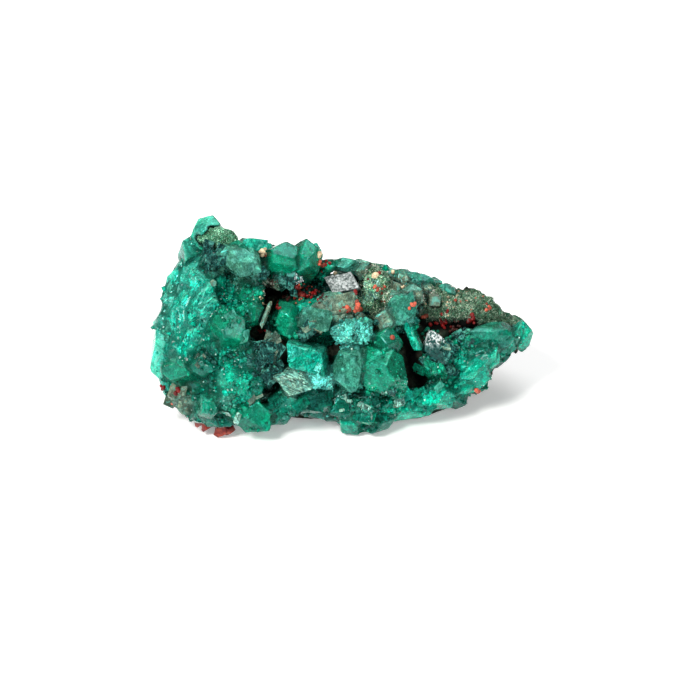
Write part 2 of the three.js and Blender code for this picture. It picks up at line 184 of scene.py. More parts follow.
def unit(rows):
    """Each row brought to a length of 1."""
    return rows / np.maximum(np.linalg.norm(rows, axis=1), 1e-12)[:, None]


def clamped(values):
    """Values kept from 0 to 1."""
    return np.clip(values, 0, 1)


def raised(points, tris, height):
    """Points moved out of their surface by a height for each."""
    return points + point_normals(points, tris) * height[:, None]


def edges_of(tris):
    """The mesh's edges, and which edge each triangle's three sides are."""
    sides = np.stack([tris[:, [0, 1]], tris[:, [1, 2]], tris[:, [2, 0]]], 1)
    edges, index = np.unique(np.sort(sides.reshape(-1, 2), axis=1), axis=0, return_inverse=True)
    return edges, index.reshape(-1, 3)


def split_long_edges(points, tris, longest):
    """Halve edges until none is longer than longest."""
    while True:
        edges, sides = edges_of(tris)
        long = np.linalg.norm(points[edges[:, 0]] - points[edges[:, 1]], axis=1) > longest
        if not long.any():
            return points, tris
        middle = np.full(len(edges), -1)
        middle[long] = len(points) + np.arange(long.sum())
        points = np.vstack([points, points[edges[long]].mean(1)])
        mids = middle[sides]
        count = (mids >= 0).sum(1)
        made = [tris[count == 0]]

        def rolled(rows, first):
            """The rows' corners and side middles, rolled so that side first comes first."""
            order = (first[:, None] + np.arange(3)) % 3
            return np.take_along_axis(tris[rows], order, 1).T, np.take_along_axis(mids[rows], order, 1).T

        rows = np.flatnonzero(count == 1)
        (a, b, c), (m, _, _) = rolled(rows, mids[rows].argmax(1))
        made += [np.stack(part, 1) for part in ((a, m, c), (m, b, c))]
        rows = np.flatnonzero(count == 2)
        (a, b, c), (m, k, _) = rolled(rows, (mids[rows].argmin(1) + 1) % 3)
        made += [np.stack(part, 1) for part in ((m, b, k), (a, m, k), (a, k, c))]
        rows = np.flatnonzero(count == 3)
        (a, b, c), (m, k, l) = rolled(rows, np.zeros(len(rows), int))
        made += [np.stack(part, 1) for part in ((a, m, l), (m, b, k), (l, k, c), (m, k, l))]
        tris = np.vstack(made)


def smoothed(values, tris, share, rounds):
    """Values at points, drawn towards the mean of their neighbours' values by a share."""
    edges, _ = edges_of(tris)
    count = np.bincount(edges.ravel(), minlength=len(values))[:, None]
    for _ in range(rounds):
        total = np.zeros_like(values)
        np.add.at(total, edges[:, 0], values[edges[:, 1]])
        np.add.at(total, edges[:, 1], values[edges[:, 0]])
        values = values + share * (total / np.maximum(count, 1) - values)
    return values


def remeshed(points, tris, cell):
    """A shell's outer surface as an even mesh with cells of one size."""
    mesh = bpy.data.meshes.new("rough")
    mesh.from_pydata(points.tolist(), [], tris.tolist())
    holder = add_object("rough", mesh)
    change = holder.modifiers.new("even", "REMESH")
    change.mode = "VOXEL"
    change.voxel_size = cell
    even = mesh_arrays(holder.evaluated_get(bpy.context.evaluated_depsgraph_get()).to_mesh())
    bpy.data.objects.remove(holder)
    bpy.data.meshes.remove(mesh)
    return even


def grown_together(points, tris, reach, cell, crisp):
    """A shell as an even mesh, its gaps narrower than twice the reach at their place filled.

    Points less than crisp away from the shell are drawn onto it. It also gives the triangle of the shell
    that each point is nearest to.
    """
    tree = BVHTree.FromPolygons(points.tolist(), tris.tolist())
    points, tris = split_long_edges(points, tris, CRUST_FINEST)
    points, tris = remeshed(raised(points, tris, reach(points)), tris, cell)
    points = smoothed(points, tris, 0.5, 1)
    points = raised(points, tris, -reach(points))
    found = [tree.find_nearest(place) for place in points.tolist()]
    onto = np.array([hit[0] for hit in found])
    away = np.linalg.norm(onto - points, axis=1)
    points = points + clamped(1.6 * (1 - away / crisp))[:, None] * (onto - points)
    return points, tris, np.array([hit[2] for hit in found])


def near(node_names, reach):
    """A test of whether points lie within reach of CAD nodes."""
    trees = [BVHTree.FromPolygons(*(part.tolist() for part in cad_shell(name))) for name in node_names]

    def test(points):
        return np.array([any(tree.find_nearest(p, reach)[0] for tree in trees) for p in points.tolist()])

    return test


# The longest edges of finely split meshes.
CRUST_FINEST = 0.8
ROCK_FINEST = 0.45
SMALL_FINEST = 0.3
SPECKLE_FINEST = 0.17

SLIVER = 1e-4  # area of the smallest triangle that joins its neighbours
FLAT = 0.004  # how far an edge may bend inwards within one crystal


def crystals_of(points, tris, cut):
    """The crystal that each triangle belongs to: those joined across edges that don't bend inwards.

    Triangles in cut, such as those of a socket, belong to none and join nothing.
    """
    edges, sides = edges_of(tris)
    owners = np.argsort(sides.ravel(), kind="stable") // 3
    starts = np.searchsorted(np.sort(sides.ravel()), np.arange(len(edges)))
    normals, areas = face_normals(points, tris)
    parent = np.arange(len(tris))

    def group(i):
        while parent[i] != i:
            parent[i] = parent[parent[i]]
            i = parent[i]
        return i

    def rise(seen_from, other):
        """How far the other triangle's highest corner stands over the plane of the first."""
        return ((points[tris[other]] - points[tris[seen_from]][0]) @ normals[seen_from]).max()

    for start in starts:
        a, b = owners[start], owners[start + 1]
        if cut[a] or cut[b] or min(areas[a], areas[b]) < SLIVER:
            continue
        if rise(a, b) < FLAT and rise(b, a) < FLAT:
            parent[group(a)] = group(b)
    return np.unique([group(i) for i in range(len(tris))], return_inverse=True)[1]


# ---- Randomness that is the same on each run: seeds and salts only keep the draws apart ----


def cell_random(cells, salt):
    """Three random numbers from 0 to 1 for each cell of a grid."""
    key = cells.astype(np.int64).astype(np.uint64)
    bits = key @ np.array([73856093, 19349663, 83492791], np.uint64) + np.uint64(salt * 2654435761)
    out = []
    for _ in range(3):
        bits = (bits ^ (bits >> np.uint64(13))) * np.uint64(0x9E3779B97F4A7C15)
        bits = bits ^ (bits >> np.uint64(31))
        out.append((bits >> np.uint64(11)).astype(float) / 2.0**53)
    return np.stack(out, 1)


def broken(points, size, salt):
    """Flat chips about size across: their height, from about -1 to 1, and how far the nearest edge is.

    That is 0 on the edge between two chips and rises to about 1 in their middles.
    """
    grid = np.floor(points / size).astype(np.int64)
    nearest = np.full(len(points), np.inf)
    second = np.full(len(points), np.inf)
    height = np.zeros(len(points))
    for shift in itertools.product((-1, 0, 1), repeat=3):
        cell = grid + np.array(shift)
        away = points - (cell + cell_random(cell, salt)) * size
        distance = np.sqrt((away**2).sum(1))
        tilt = 2 * cell_random(cell, salt + 1) - 1
        level = 2 * cell_random(cell, salt + 2)[:, 0] - 1
        closer = distance < nearest
        second = np.where(closer, nearest, np.minimum(second, distance))
        nearest = np.where(closer, distance, nearest)
        height = np.where(closer, 0.6 * level + 0.9 * (tilt * away).sum(1) / size, height)
    return height, (second - nearest) / (0.5 * size)


def smooth_noise(points, size, salt):
    """Soft lumps about size across, from -1 to 1."""
    scaled = points / size
    grid = np.floor(scaled).astype(np.int64)
    part = scaled - grid
    part = part * part * (3 - 2 * part)
    total = np.zeros(len(points))
    for corner in itertools.product((0, 1), repeat=3):
        weight = np.prod(np.where(np.array(corner), part, 1 - part), axis=1)
        total += weight * (2 * cell_random(grid + np.array(corner), salt)[:, 0] - 1)
    return total


# ---- Colours ----


def linear(red, green, blue):
    """A colour given as 0 to 255 on a screen, in the renderer's linear scale."""
    share = np.array([red, green, blue]) / 255
    return np.where(share <= 0.04045, share / 12.92, ((share + 0.055) / 1.055) ** 2.4)


def blended(tints, share):
    """Colours between the rows of tints, by a share from 0 to 1."""
    at = clamped(share) * (len(tints) - 1.001)
    low = at.astype(int)
    return tints[low] + (tints[low + 1] - tints[low]) * (at - low)[:, None]


# Each look of a crystal: its colour, roughness, how clear it is, how much of it is broken into chips, how
# strongly it is streaked, how veiled it is with pale flaws, which also sets how much painted sheen its tops
# and edges get, and how far its broken faces stand out.
LOOKS = {
    "bright": (linear(0, 154, 121), 0.09, 0.15, 0.3, 0.3, 0.1, 0.03),
    "frosted": (linear(84, 184, 166), 0.18, 0.05, 1.0, 0.5, 0.8, 0.08),
    "milky": (linear(30, 158, 130), 0.10, 0.15, 0.05, 0.2, 0.9, 0.01),
    "misty": (linear(54, 108, 88), 0.10, 0.20, 0.1, 0.2, 0.7, 0.01),
    "streaked": (linear(0, 154, 126), 0.12, 0.10, 0.05, 0.8, 1.0, 0.02),
    "green": (linear(0, 136, 98), 0.07, 0.35, 0.1, 0.1, 0.05, 0.02),
    "deep": (linear(0, 98, 74), 0.07, 0.35, 0.2, 0.2, 0.05, 0.03),
    "glassy": (linear(56, 135, 111), 0.06, 0.25, 0.08, 0.2, 0.8, 0.01),
    "dark": (linear(20, 46, 42), 0.07, 0.10, 0.25, 0.6, 0.8, 0.08),
    "grey": (linear(104, 116, 96), 0.14, 0.10, 0.15, 0.2, 0.8, 0.01),
    "pale": (linear(116, 152, 134), 0.16, 0.10, 0.4, 1.0, 0.6, 0.02),
    "smooth": (linear(0, 112, 84), 0.08, 0.30, 0.05, 0.2, 0.5, 0.01),
    "fibrous": (linear(0, 128, 102), 0.10, 0.15, 0.2, 0.4, 0.3, 0.03),
    "cut": (linear(40, 52, 42), 0.80, 0.0, 0.2, 0.2, 0.0, 0.10),
}
LOOK_TABLE = {name: np.array([*colour, *rest]) for name, (colour, *rest) in LOOKS.items()}
# Columns of the table after the colour's three, and the mesh attributes for those from ROUGH up to RELIEF.
ROUGH, CLEAR, STREAKS, VEILS, RELIEF = 3, 4, 6, 7, 8
LOOK_ATTRIBUTES = ("rough", "clear", "chips", "streaks", "veils")

# Where on the display face crystals of each look stand out from their neighbours, as (u, v).
SPOTS = {
    "frosted": [(-3.2, -6.9), (0.2, -0.8), (2.6, 0.2)],
    "bright": [
        (-22.6, -1.9), (-16.2, -7.4), (19.0, -6.4), (13.6, -9.8), (16.6, -6.0), (0.4, -13.9), (10.3, -1.2),
        (-18.0, 4.5), (8.5, -11.2), (27.2, -0.6),
    ],
    "fibrous": [(-5.4, -3.9)],
    "streaked": [(-24.2, 1.9), (-21.9, 6.9), (-20.4, 3.4), (-25.9, 4.6)],
    "milky": [(-20.5, 14.7), (-24.9, 7.8), (-23.1, 11.6), (-27.1, 1.4), (-27.4, -4.3)],
    "misty": [(-14.4, 9.8)],
    "green": [
        (-17.1, 0.1), (-13.8, 5.1), (-13.8, 2.5), (-9.3, 10.8), (-5.9, 10.6), (-8.7, 1.2), (5.9, -5.9),
        (6.2, -2.0), (-14.0, -12.8), (-14.2, 12.3), (16.4, -3.4), (-24.2, -5.9), (13.4, -5.4),
    ],
    "deep": [
        (-9.0, -10.6), (-10.4, -12.7), (-3.9, -10.3), (-0.6, -11.6), (2.9, -11.6), (5.0, -13.9),
        (-19.1, -13.0), (23.0, -3.7), (16.8, -10.4), (-14.4, -4.7), (-21.3, -5.0),
    ],
    "glassy": [(0.8, -5.4), (8.6, 3.3), (0.2, 9.6)],
    "dark": [
        (-19.4, 10.9), (-4.7, 1.2), (-12.0, -3.0), (-11.6, -6.6), (-9.6, 7.4), (-7.3, 7.5), (18.3, -1.4),
    ],
    "grey": [(-1.0, 3.4), (-24.2, -11.2), (-26.3, -8.3), (-24.2, -9.8), (6.0, 1.4), (3.0, 9.0)],
    "pale": [(-8.1, -7.4)],
    "smooth": [(21.6, -0.8), (-22.2, -12.4), (-20.4, -11.1)],
}
SPOT_REACH = 1.7
COMMON_LOOKS = ["green", "deep", "bright", "green", "glassy"]


def looks_of(points, tris, crystal, cut):
    """The look of each crystal, by the place of its triangles that face out of the display face."""
    normals, areas = face_normals(points, tris)
    weight = areas * (0.05 + clamped(normals @ OUT))
    middle = points[tris].mean(1)
    count = crystal.max() + 1
    total = np.bincount(crystal, weight, count)
    place = np.stack([np.bincount(crystal, weight * middle[:, i], count) / total for i in range(3)], 1)
    u, v, _ = on_face(place)
    rng = np.random.default_rng(11)
    common = rng.choice(COMMON_LOOKS, count)
    spots = [(a, b, name) for name, places in SPOTS.items() for a, b in places]
    away = np.hypot(u[:, None] - [s[0] for s in spots], v[:, None] - [s[1] for s in spots])
    best = away.argmin(1)
    looks = [spots[best[i]][2] if away[i, best[i]] < SPOT_REACH else common[i] for i in range(count)]
    for label in np.unique(crystal[cut]):
        looks[label] = "cut"
    return looks


# Hollows between the crystals, where colours are darkened with painted shade, as stretches from (u, v) to
# (u, v) with a half width.
HOLLOWS = [
    ((-8.6, 5.2), (-3.0, 6.0), 1.1), ((-12.2, 1.6), (-11.0, -1.2), 0.9), ((9.4, -1.0), (10.4, -6.0), 1.2),
    ((10.5, -6.0), (12.2, -7.8), 1.4), ((12.6, 0.6), (19.4, 1.0), 0.9), ((16.0, -0.6), (17.6, 0.4), 0.8),
    ((-11.4, -7.0), (-11.0, -8.8), 0.5), ((-17.7, -3.9), (-17.2, -3.9), 0.4),
    ((-20.8, -3.2), (-18.4, -5.8), 0.4), ((-3.6, -9.2), (-2.2, -9.9), 0.5), ((0.4, -9.9), (2.4, -9.9), 0.4),
    ((-6.4, -1.2), (-5.0, -2.2), 0.5), ((-14.4, 6.8), (-12.6, 6.4), 0.6), ((10.6, 1.8), (11.8, 1.0), 0.7),
    ((-7.6, -9.7), (-5.2, -9.5), 0.45), ((-7.0, -12.4), (-5.6, -12.0), 0.35),
    ((4.2, -9.6), (5.6, -9.4), 0.4), ((-10.4, -11.6), (-9.8, -11.0), 0.3), ((9.2, -9.4), (9.8, -8.8), 0.4),
]


def hollow(points):
    """How much a place lies in one of the hollows, from 0 to 1; the pieces darken their colour there with
    painted shade.
    """
    u, v, _ = on_face(points)
    here = np.stack([u, v], 1)
    depth = np.zeros(len(points))
    for start, end, half in HOLLOWS:
        start, run = np.array(start), np.subtract(end, start)
        along = clamped((here - start) @ run / (run @ run))
        away = np.linalg.norm(here - start - along[:, None] * run, axis=1)
        depth = np.maximum(depth, clamped(1.5 - away / half))
    return depth


# The grid of cells over the display face in which cavity looks for the front of the crystals.
CAVITY_CELL = 1.6
CAVITY_START = (-32.0, -20.0)
CAVITY_CELLS = (42, 26)
FAR_BACK = -20.0


def cavity(points, ways=OUT):
    """How deep each point lies behind the front of the crystals round it, from 0 on top to 1 in a hollow.

    Points whose ways face to the back are in no hollow.
    """
    u, v, n = on_face(points)
    column = ((u - CAVITY_START[0]) / CAVITY_CELL).astype(int)
    row = ((v - CAVITY_START[1]) / CAVITY_CELL).astype(int)
    front = np.full(CAVITY_CELLS, FAR_BACK)
    np.maximum.at(front, (column, row), n)
    padded = np.pad(front, 1, constant_values=FAR_BACK)
    wide, high = CAVITY_CELLS
    nearby = [padded[a : a + wide, b : b + high] for a in range(3) for b in range(3)]
    envelope = np.mean(np.maximum(nearby, front - 3), axis=0)
    return clamped((envelope[column, row] - n - 0.8) / 4.0) * clamped(2 * (ways @ OUT) + 0.8)


# ---- Materials ----


class Value:
    """An output of a material's node. Sums and products of values add the nodes for them."""

    kind = "ShaderNodeMath"

    def __init__(self, socket):
        self.socket = socket

    def combined(self, operation, other):
        made = self.socket.id_data.nodes.new(self.kind)
        made.operation = operation
        feed(made.inputs[0], self)
        feed(made.inputs[1], other)
        return type(self)(made.outputs[0])

    def __add__(self, other):
        return self.combined("ADD", other)

    def __sub__(self, other):
        return self.combined("SUBTRACT", other)

    def __mul__(self, other):
        return self.combined("MULTIPLY", other)

    __radd__ = __add__
    __rmul__ = __mul__

    def at_least(self, other):
        return self.combined("MAXIMUM", other)

    def rise(self, low, high):
        """The value's smooth rise from 0 at low to 1 at high."""
        made = self.socket.id_data.nodes.new("ShaderNodeMapRange")
        made.interpolation_type = "SMOOTHSTEP"
        for name, value in (("Value", self), ("From Min", low), ("From Max", high)):
            feed(made.inputs[name], value)
        return Value(made.outputs["Result"])

    def factor(self, spread, low=0.0, high=1.0):
        """A factor that goes from 1 - spread to 1 + spread as the value goes from low to high."""
        return self.rise(low, high) * (2 * spread) + (1 - spread)


class Place(Value):
    """An output that is a place or a way in space."""

    kind = "ShaderNodeVectorMath"

    def dot(self, other):
        return Value(self.combined("DOT_PRODUCT", other).socket.node.outputs["Value"])


def feed(socket, value):
    """Give a socket a plain value, or link it to another node's output."""
    if isinstance(value, Value):
        socket.id_data.links.new(value.socket, socket)
    else:
        socket.default_value = value


def mixed(kind, share, first, second):
    """Two colours mixed by a share. The first is a Value."""
    made = first.socket.id_data.nodes.new("ShaderNodeMix")
    made.data_type = "RGBA"
    made.blend_type = kind
    for index, value in ((0, share), (6, first), (7, second)):
        feed(made.inputs[index], value)
    return Value(made.outputs[2])


class Paint:
    """A new material, with ways to add the nodes that feed its shader."""

    def __init__(self, name):
        self.material = bpy.data.materials.new(name)
        self.material.use_nodes = True
        self.nodes = self.material.node_tree.nodes
        self.shader = self.nodes["Principled BSDF"]

    def set_shader(self, values):
        for name, value in values.items():
            feed(self.shader.inputs[name], value)

    def node(self, kind, values):
        """The outputs of a new node."""
        made = self.nodes.new(kind)
        for name, value in values.items():
            feed(made.inputs[name], value)
        return made.outputs

    def attribute(self, name, output="Fac"):
        """What the mesh says at each place, as a Fac, a Color or a Vector."""
        made = self.nodes.new("ShaderNodeAttribute")
        made.attribute_name = name
        return (Place if output == "Vector" else Value)(made.outputs[output])

    def noise(self, place, scale, detail, bend=0.0, roughness=0.62):
        values = {"Vector": place, "Scale": scale, "Detail": detail}
        values.update({"Roughness": roughness, "Distortion": bend})
        return Value(self.node("ShaderNodeTexNoise", values)["Fac"])

    def facets(self, place, scale):
        """The height of flat chips with random slopes, in the place's unit, and a random number of each."""
        cells = self.node("ShaderNodeTexVoronoi", {"Vector": place, "Scale": scale})
        random = Place(cells["Color"])
        # The texture's Position is the middle of the chip.
        height = (random - (0.5, 0.5, 0.5)).dot(place - Place(cells["Position"]))
        return height, Value(self.node("ShaderNodeSeparateColor", {"Color": random})["Red"])

    def bump(self, height, strength, distance):
        values = {"Height": height, "Strength": strength, "Distance": distance}
        self.set_shader({"Normal": Value(self.node("ShaderNodeBump", values)["Normal"])})


VEIL = (0.14, 0.53, 0.43, 1)
# The pale colour of fine scratches, which also stand for painted glints.
SCRATCH_AND_GLINT = (0.32, 0.8, 0.68, 1)
BLUER = (0.9, 1.0, 1.1, 1)  # multiplies the tint in bluer patches


def crystal_material(name):
    """Translucent dioptase. Its colour, roughness, clearness, flaws and streaks come from the mesh.

    The textures lie in each crystal's own directions, in millimetres: the mesh's grain attribute.
    """
    paint = Paint(name)
    place = paint.attribute("grain", "Vector")
    tint = paint.attribute("tint", "Color")
    rough, clear, chips, streaks, veils = [paint.attribute(key) for key in LOOK_ATTRIBUTES]

    cloud = paint.noise(place, 0.5, 3.0, 0.4)
    patch = paint.noise(place, 1.3, 3.0, 0.3)
    fine = paint.noise(place, 4.5, 3.0)
    # Streaks and fibres are noise that is drawn out along the crystal.
    streak = paint.noise(place * (1.0, 1.0, 0.14), 2.6, 3.0, 0.5)
    stroke = paint.noise(place * (1.0, 1.0, 0.4), 7.0, 4.0, 0.3)
    fibre = paint.noise(place * (1.0, 1.0, 0.08), 5.5, 3.0, 0.4)
    stroke = stroke + streaks * (fibre - stroke)
    bending = Place(paint.node("ShaderNodeTexNoise", {"Vector": place, "Scale": 1.1})["Color"])
    bent = place + bending * (0.5, 0.5, 0.5)
    coarse_height, coarse_random = paint.facets(bent, 0.8)
    small_height, small_random = paint.facets(bent, 2.0)
    tiny_height, tiny_random = paint.facets(bent, 5.0)
    # Patches of a crystal are broken up into fine chips.
    chipped = chips * patch.rise(0.44, 0.54)
    flawed = chipped.at_least(0.7 * streaks)

    shade = small_random.factor(0.4) * tiny_random.factor(0.45) * stroke.factor(0.6, 0.38, 0.6)
    shade = (1.0 + (shade - 1.0) * (0.4 + flawed)).at_least(0.1)
    shade = shade * cloud.factor(0.35, 0.3, 0.7) * patch.factor(0.2, 0.3, 0.7) * coarse_random.factor(0.2)
    shade = shade * (1.0 + 1.3 * (streaks * (streak.rise(0.3, 0.72) - 0.4)))
    body = mixed("MULTIPLY", 1.0, tint, shade)
    bluer = paint.noise(place, 0.35, 2.0).rise(0.4, 0.65)
    body = mixed("MIX", bluer, body, mixed("MULTIPLY", 1.0, body, BLUER))
    veil = 0.8 * paint.noise(place, 0.8, 4.0, 0.8).rise(0.52, 0.66)
    veil = veil.at_least(streaks * streak.rise(0.6, 0.7)) * veils
    body = mixed("MIX", veil, body, VEIL)
    # Fine pale scratches, which also stand for painted glints, are mostly where the crystal is chipped or
    # streaked.
    scratch_and_glint = stroke.rise(0.57, 0.68) * (0.03 + flawed)

    paint.set_shader({
        "Base Color": mixed("MIX", scratch_and_glint, body, SCRATCH_AND_GLINT),
        "Roughness": rough + 0.12 * patch.rise(0.4, 0.7),
        "Transmission Weight": clear,
        "IOR": 1.65,
        "Specular Tint": (0.1, 1.0, 0.9, 1),
        "Specular IOR Level": 0.4,
        "Coat Weight": 0.22,
        "Coat Roughness": 0.05,
        "Subsurface Weight": 0.2,
        "Subsurface Radius": (0.1, 1.0, 0.8),
        "Subsurface Scale": 0.5 * MM,
    })
    height = (
        coarse_height * (0.2 + 0.4 * chips) + small_height * (0.05 + chipped) + tiny_height * (0.4 * chipped)
        + 0.16 * (streak * streaks) + 0.03 * fine + stroke * (0.01 + 0.05 * flawed)
    )
    paint.bump(height, 0.8, MM)
    return paint.material


def coloured_material(name, roughness, gloss, bump_size, contrast):
    """An opaque material that takes its colour from the mesh's tint, with fine mottling and bump."""
    paint = Paint(name)
    place = Value(paint.node("ShaderNodeTexCoord", {})["Object"])
    tint = paint.attribute("tint", "Color")
    mottle = paint.noise(place, 1 / (2 * bump_size * MM), 6.0, roughness=0.65)
    paint.set_shader({
        "Base Color": mixed("MULTIPLY", 1.0, tint, mottle.factor(contrast, 0.3, 0.7)),
        "Roughness": roughness + 0.2 * mottle,
        "Specular IOR Level": gloss,
    })
    paint.bump(mottle, 0.7, bump_size * MM)
    return paint.material


# ---- Pieces ----


def add_piece(name, points, tris, material, slot, replaced=(), smooth=True, **attributes):
    """A mesh piece that rides on the specimen. Attributes are colours, vectors or numbers for each point."""
    mesh = bpy.data.meshes.new(name)
    mesh.vertices.add(len(points))
    mesh.vertices.foreach_set("co", (points * MM).astype(np.float32).ravel())
    mesh.loops.add(len(tris) * 3)
    mesh.loops.foreach_set("vertex_index", tris.astype(np.int32).ravel())
    mesh.polygons.add(len(tris))
    mesh.polygons.foreach_set("loop_start", np.arange(0, len(tris) * 3, 3, dtype=np.int32))
    mesh.update(calc_edges=True)
    if smooth:
        mesh.shade_smooth()
    for key, values in attributes.items():
        kind, field = "FLOAT", "value"
        if key == "grain":
            kind, field = "FLOAT_VECTOR", "vector"
        elif key == "tint":
            kind, field = "FLOAT_COLOR", "color"
            values = np.column_stack([values, np.ones(len(values))])
        layer = mesh.attributes.new(key, kind, "POINT")
        layer.data.foreach_set(field, values.astype(np.float32).ravel())
    mesh.materials.append(material)
    piece = add_object(name, mesh)
    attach(piece, "root")
    if replaced:
        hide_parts(*replaced)


def add_crystals(name, points, tris, material, replaced, values, light, grain, slot="dioptase", smooth=True):
    """A piece of crystal. values has a row of LOOK_TABLE for each point, and light a share of its light."""
    # The tint carries painted shade: the look's colour times the share of light.
    tint = values[:, :ROUGH] * light[:, None]
    flaws = dict(zip(LOOK_ATTRIBUTES, values[:, ROUGH:RELIEF].T))
    add_piece(name, points, tris, material, slot, replaced, smooth, tint=tint, grain=grain, **flaws)


def random_turns(count, rng):
    """Random rotation matrices."""
    first = unit(rng.normal(size=(count, 3)))
    second = unit(np.cross(first, rng.normal(size=(count, 3))))
    return np.stack([first, second, np.cross(first, second)], 1)


# The way that the left mass is streaked, down its face to the left.
STREAK_WAY = off_face(-0.45, -0.9, 0.1) - MIDDLE


def grain_of(points, tag, streaked, rng):
    """Places in the own directions of the crystal that each point belongs to, which are streaked along Z."""
    turns = random_turns(tag.max() + 1, rng)
    along = unit(STREAK_WAY[None] + 0.25 * rng.normal(size=(len(turns), 3)))
    aside = unit(np.cross(along, OUT))
    turns[streaked] = np.stack([aside, np.cross(along, aside), along], 1)[streaked]
    return (turns[tag] @ points[:, :, None])[:, :, 0] + 20.0 * rng.random((len(turns), 3))[tag]


CRUST_CELL = 0.275  # of the even mesh, in millimetres
CRISP = 0.5
# The crust's faces nearer than this to the matrix, to a free crystal or to the floor are cuts and sockets.
MATRIX_GAP = 0.75
SOCKET_GAP = 0.36
BASE_CUT = 0.02
# The pale colour of the painted sheen: a painted reflection of the lights on tops that face up, and a
# painted highlight on edges.
PAINTED_SHEEN = linear(80, 170, 142)


def with_painted_sheen(values, ways, edge=0.0):
    """The values of the look table with a painted sheen on tops, by the way each place faces, and a painted
    highlight on edges.
    """
    # Tops that face up get the painted sheen and edges a painted highlight, more of both on looks with more
    # pale flaws.
    top = clamped((ways[:, 2] - 0.55) / 0.3)
    veil = np.clip(0.5 * top + 0.45 * edge, 0, 0.8) * (0.1 + 0.8 * values[:, VEILS])
    shown = values.copy()
    shown[:, :ROUGH] += veil[:, None] * (PAINTED_SHEEN - shown[:, :ROUGH])
    return shown


def facet_shade(ways, tag):
    """A shade for each facet of each crystal: random, but the same all over the facet."""
    cells = np.round(4 * ways).astype(int) + 9 * tag[:, None]
    return 0.62 + 0.76 * cell_random(cells, 44)[:, 0]


def bend_of(points, tris, rounds):
    """How far each point lies under the smoothed surface, in a valley. It is negative on an edge."""
    return ((smoothed(points, tris, 0.7, rounds) - points) * point_normals(points, tris)).sum(1)


def gap_filled(points):
    """Half the width of the gaps that have grown shut at a place, in millimetres: widest in the masses."""
    u, v, _ = on_face(points)
    left = clamped((-10.5 - u) / 3) * clamped((9 - v) / 2)
    right = clamped((u - 14) / 2) * clamped((-1.5 - v) / 2)
    below = clamped((-8.5 - v) / 1.5)
    ridge = clamped((u - 1) / 2) * clamped((v - 1.5) / 2) * clamped((15 - u) / 2)
    return 0.22 + 0.8 * np.max([left, 1.1 * right, 0.7 * below, ridge], axis=0)


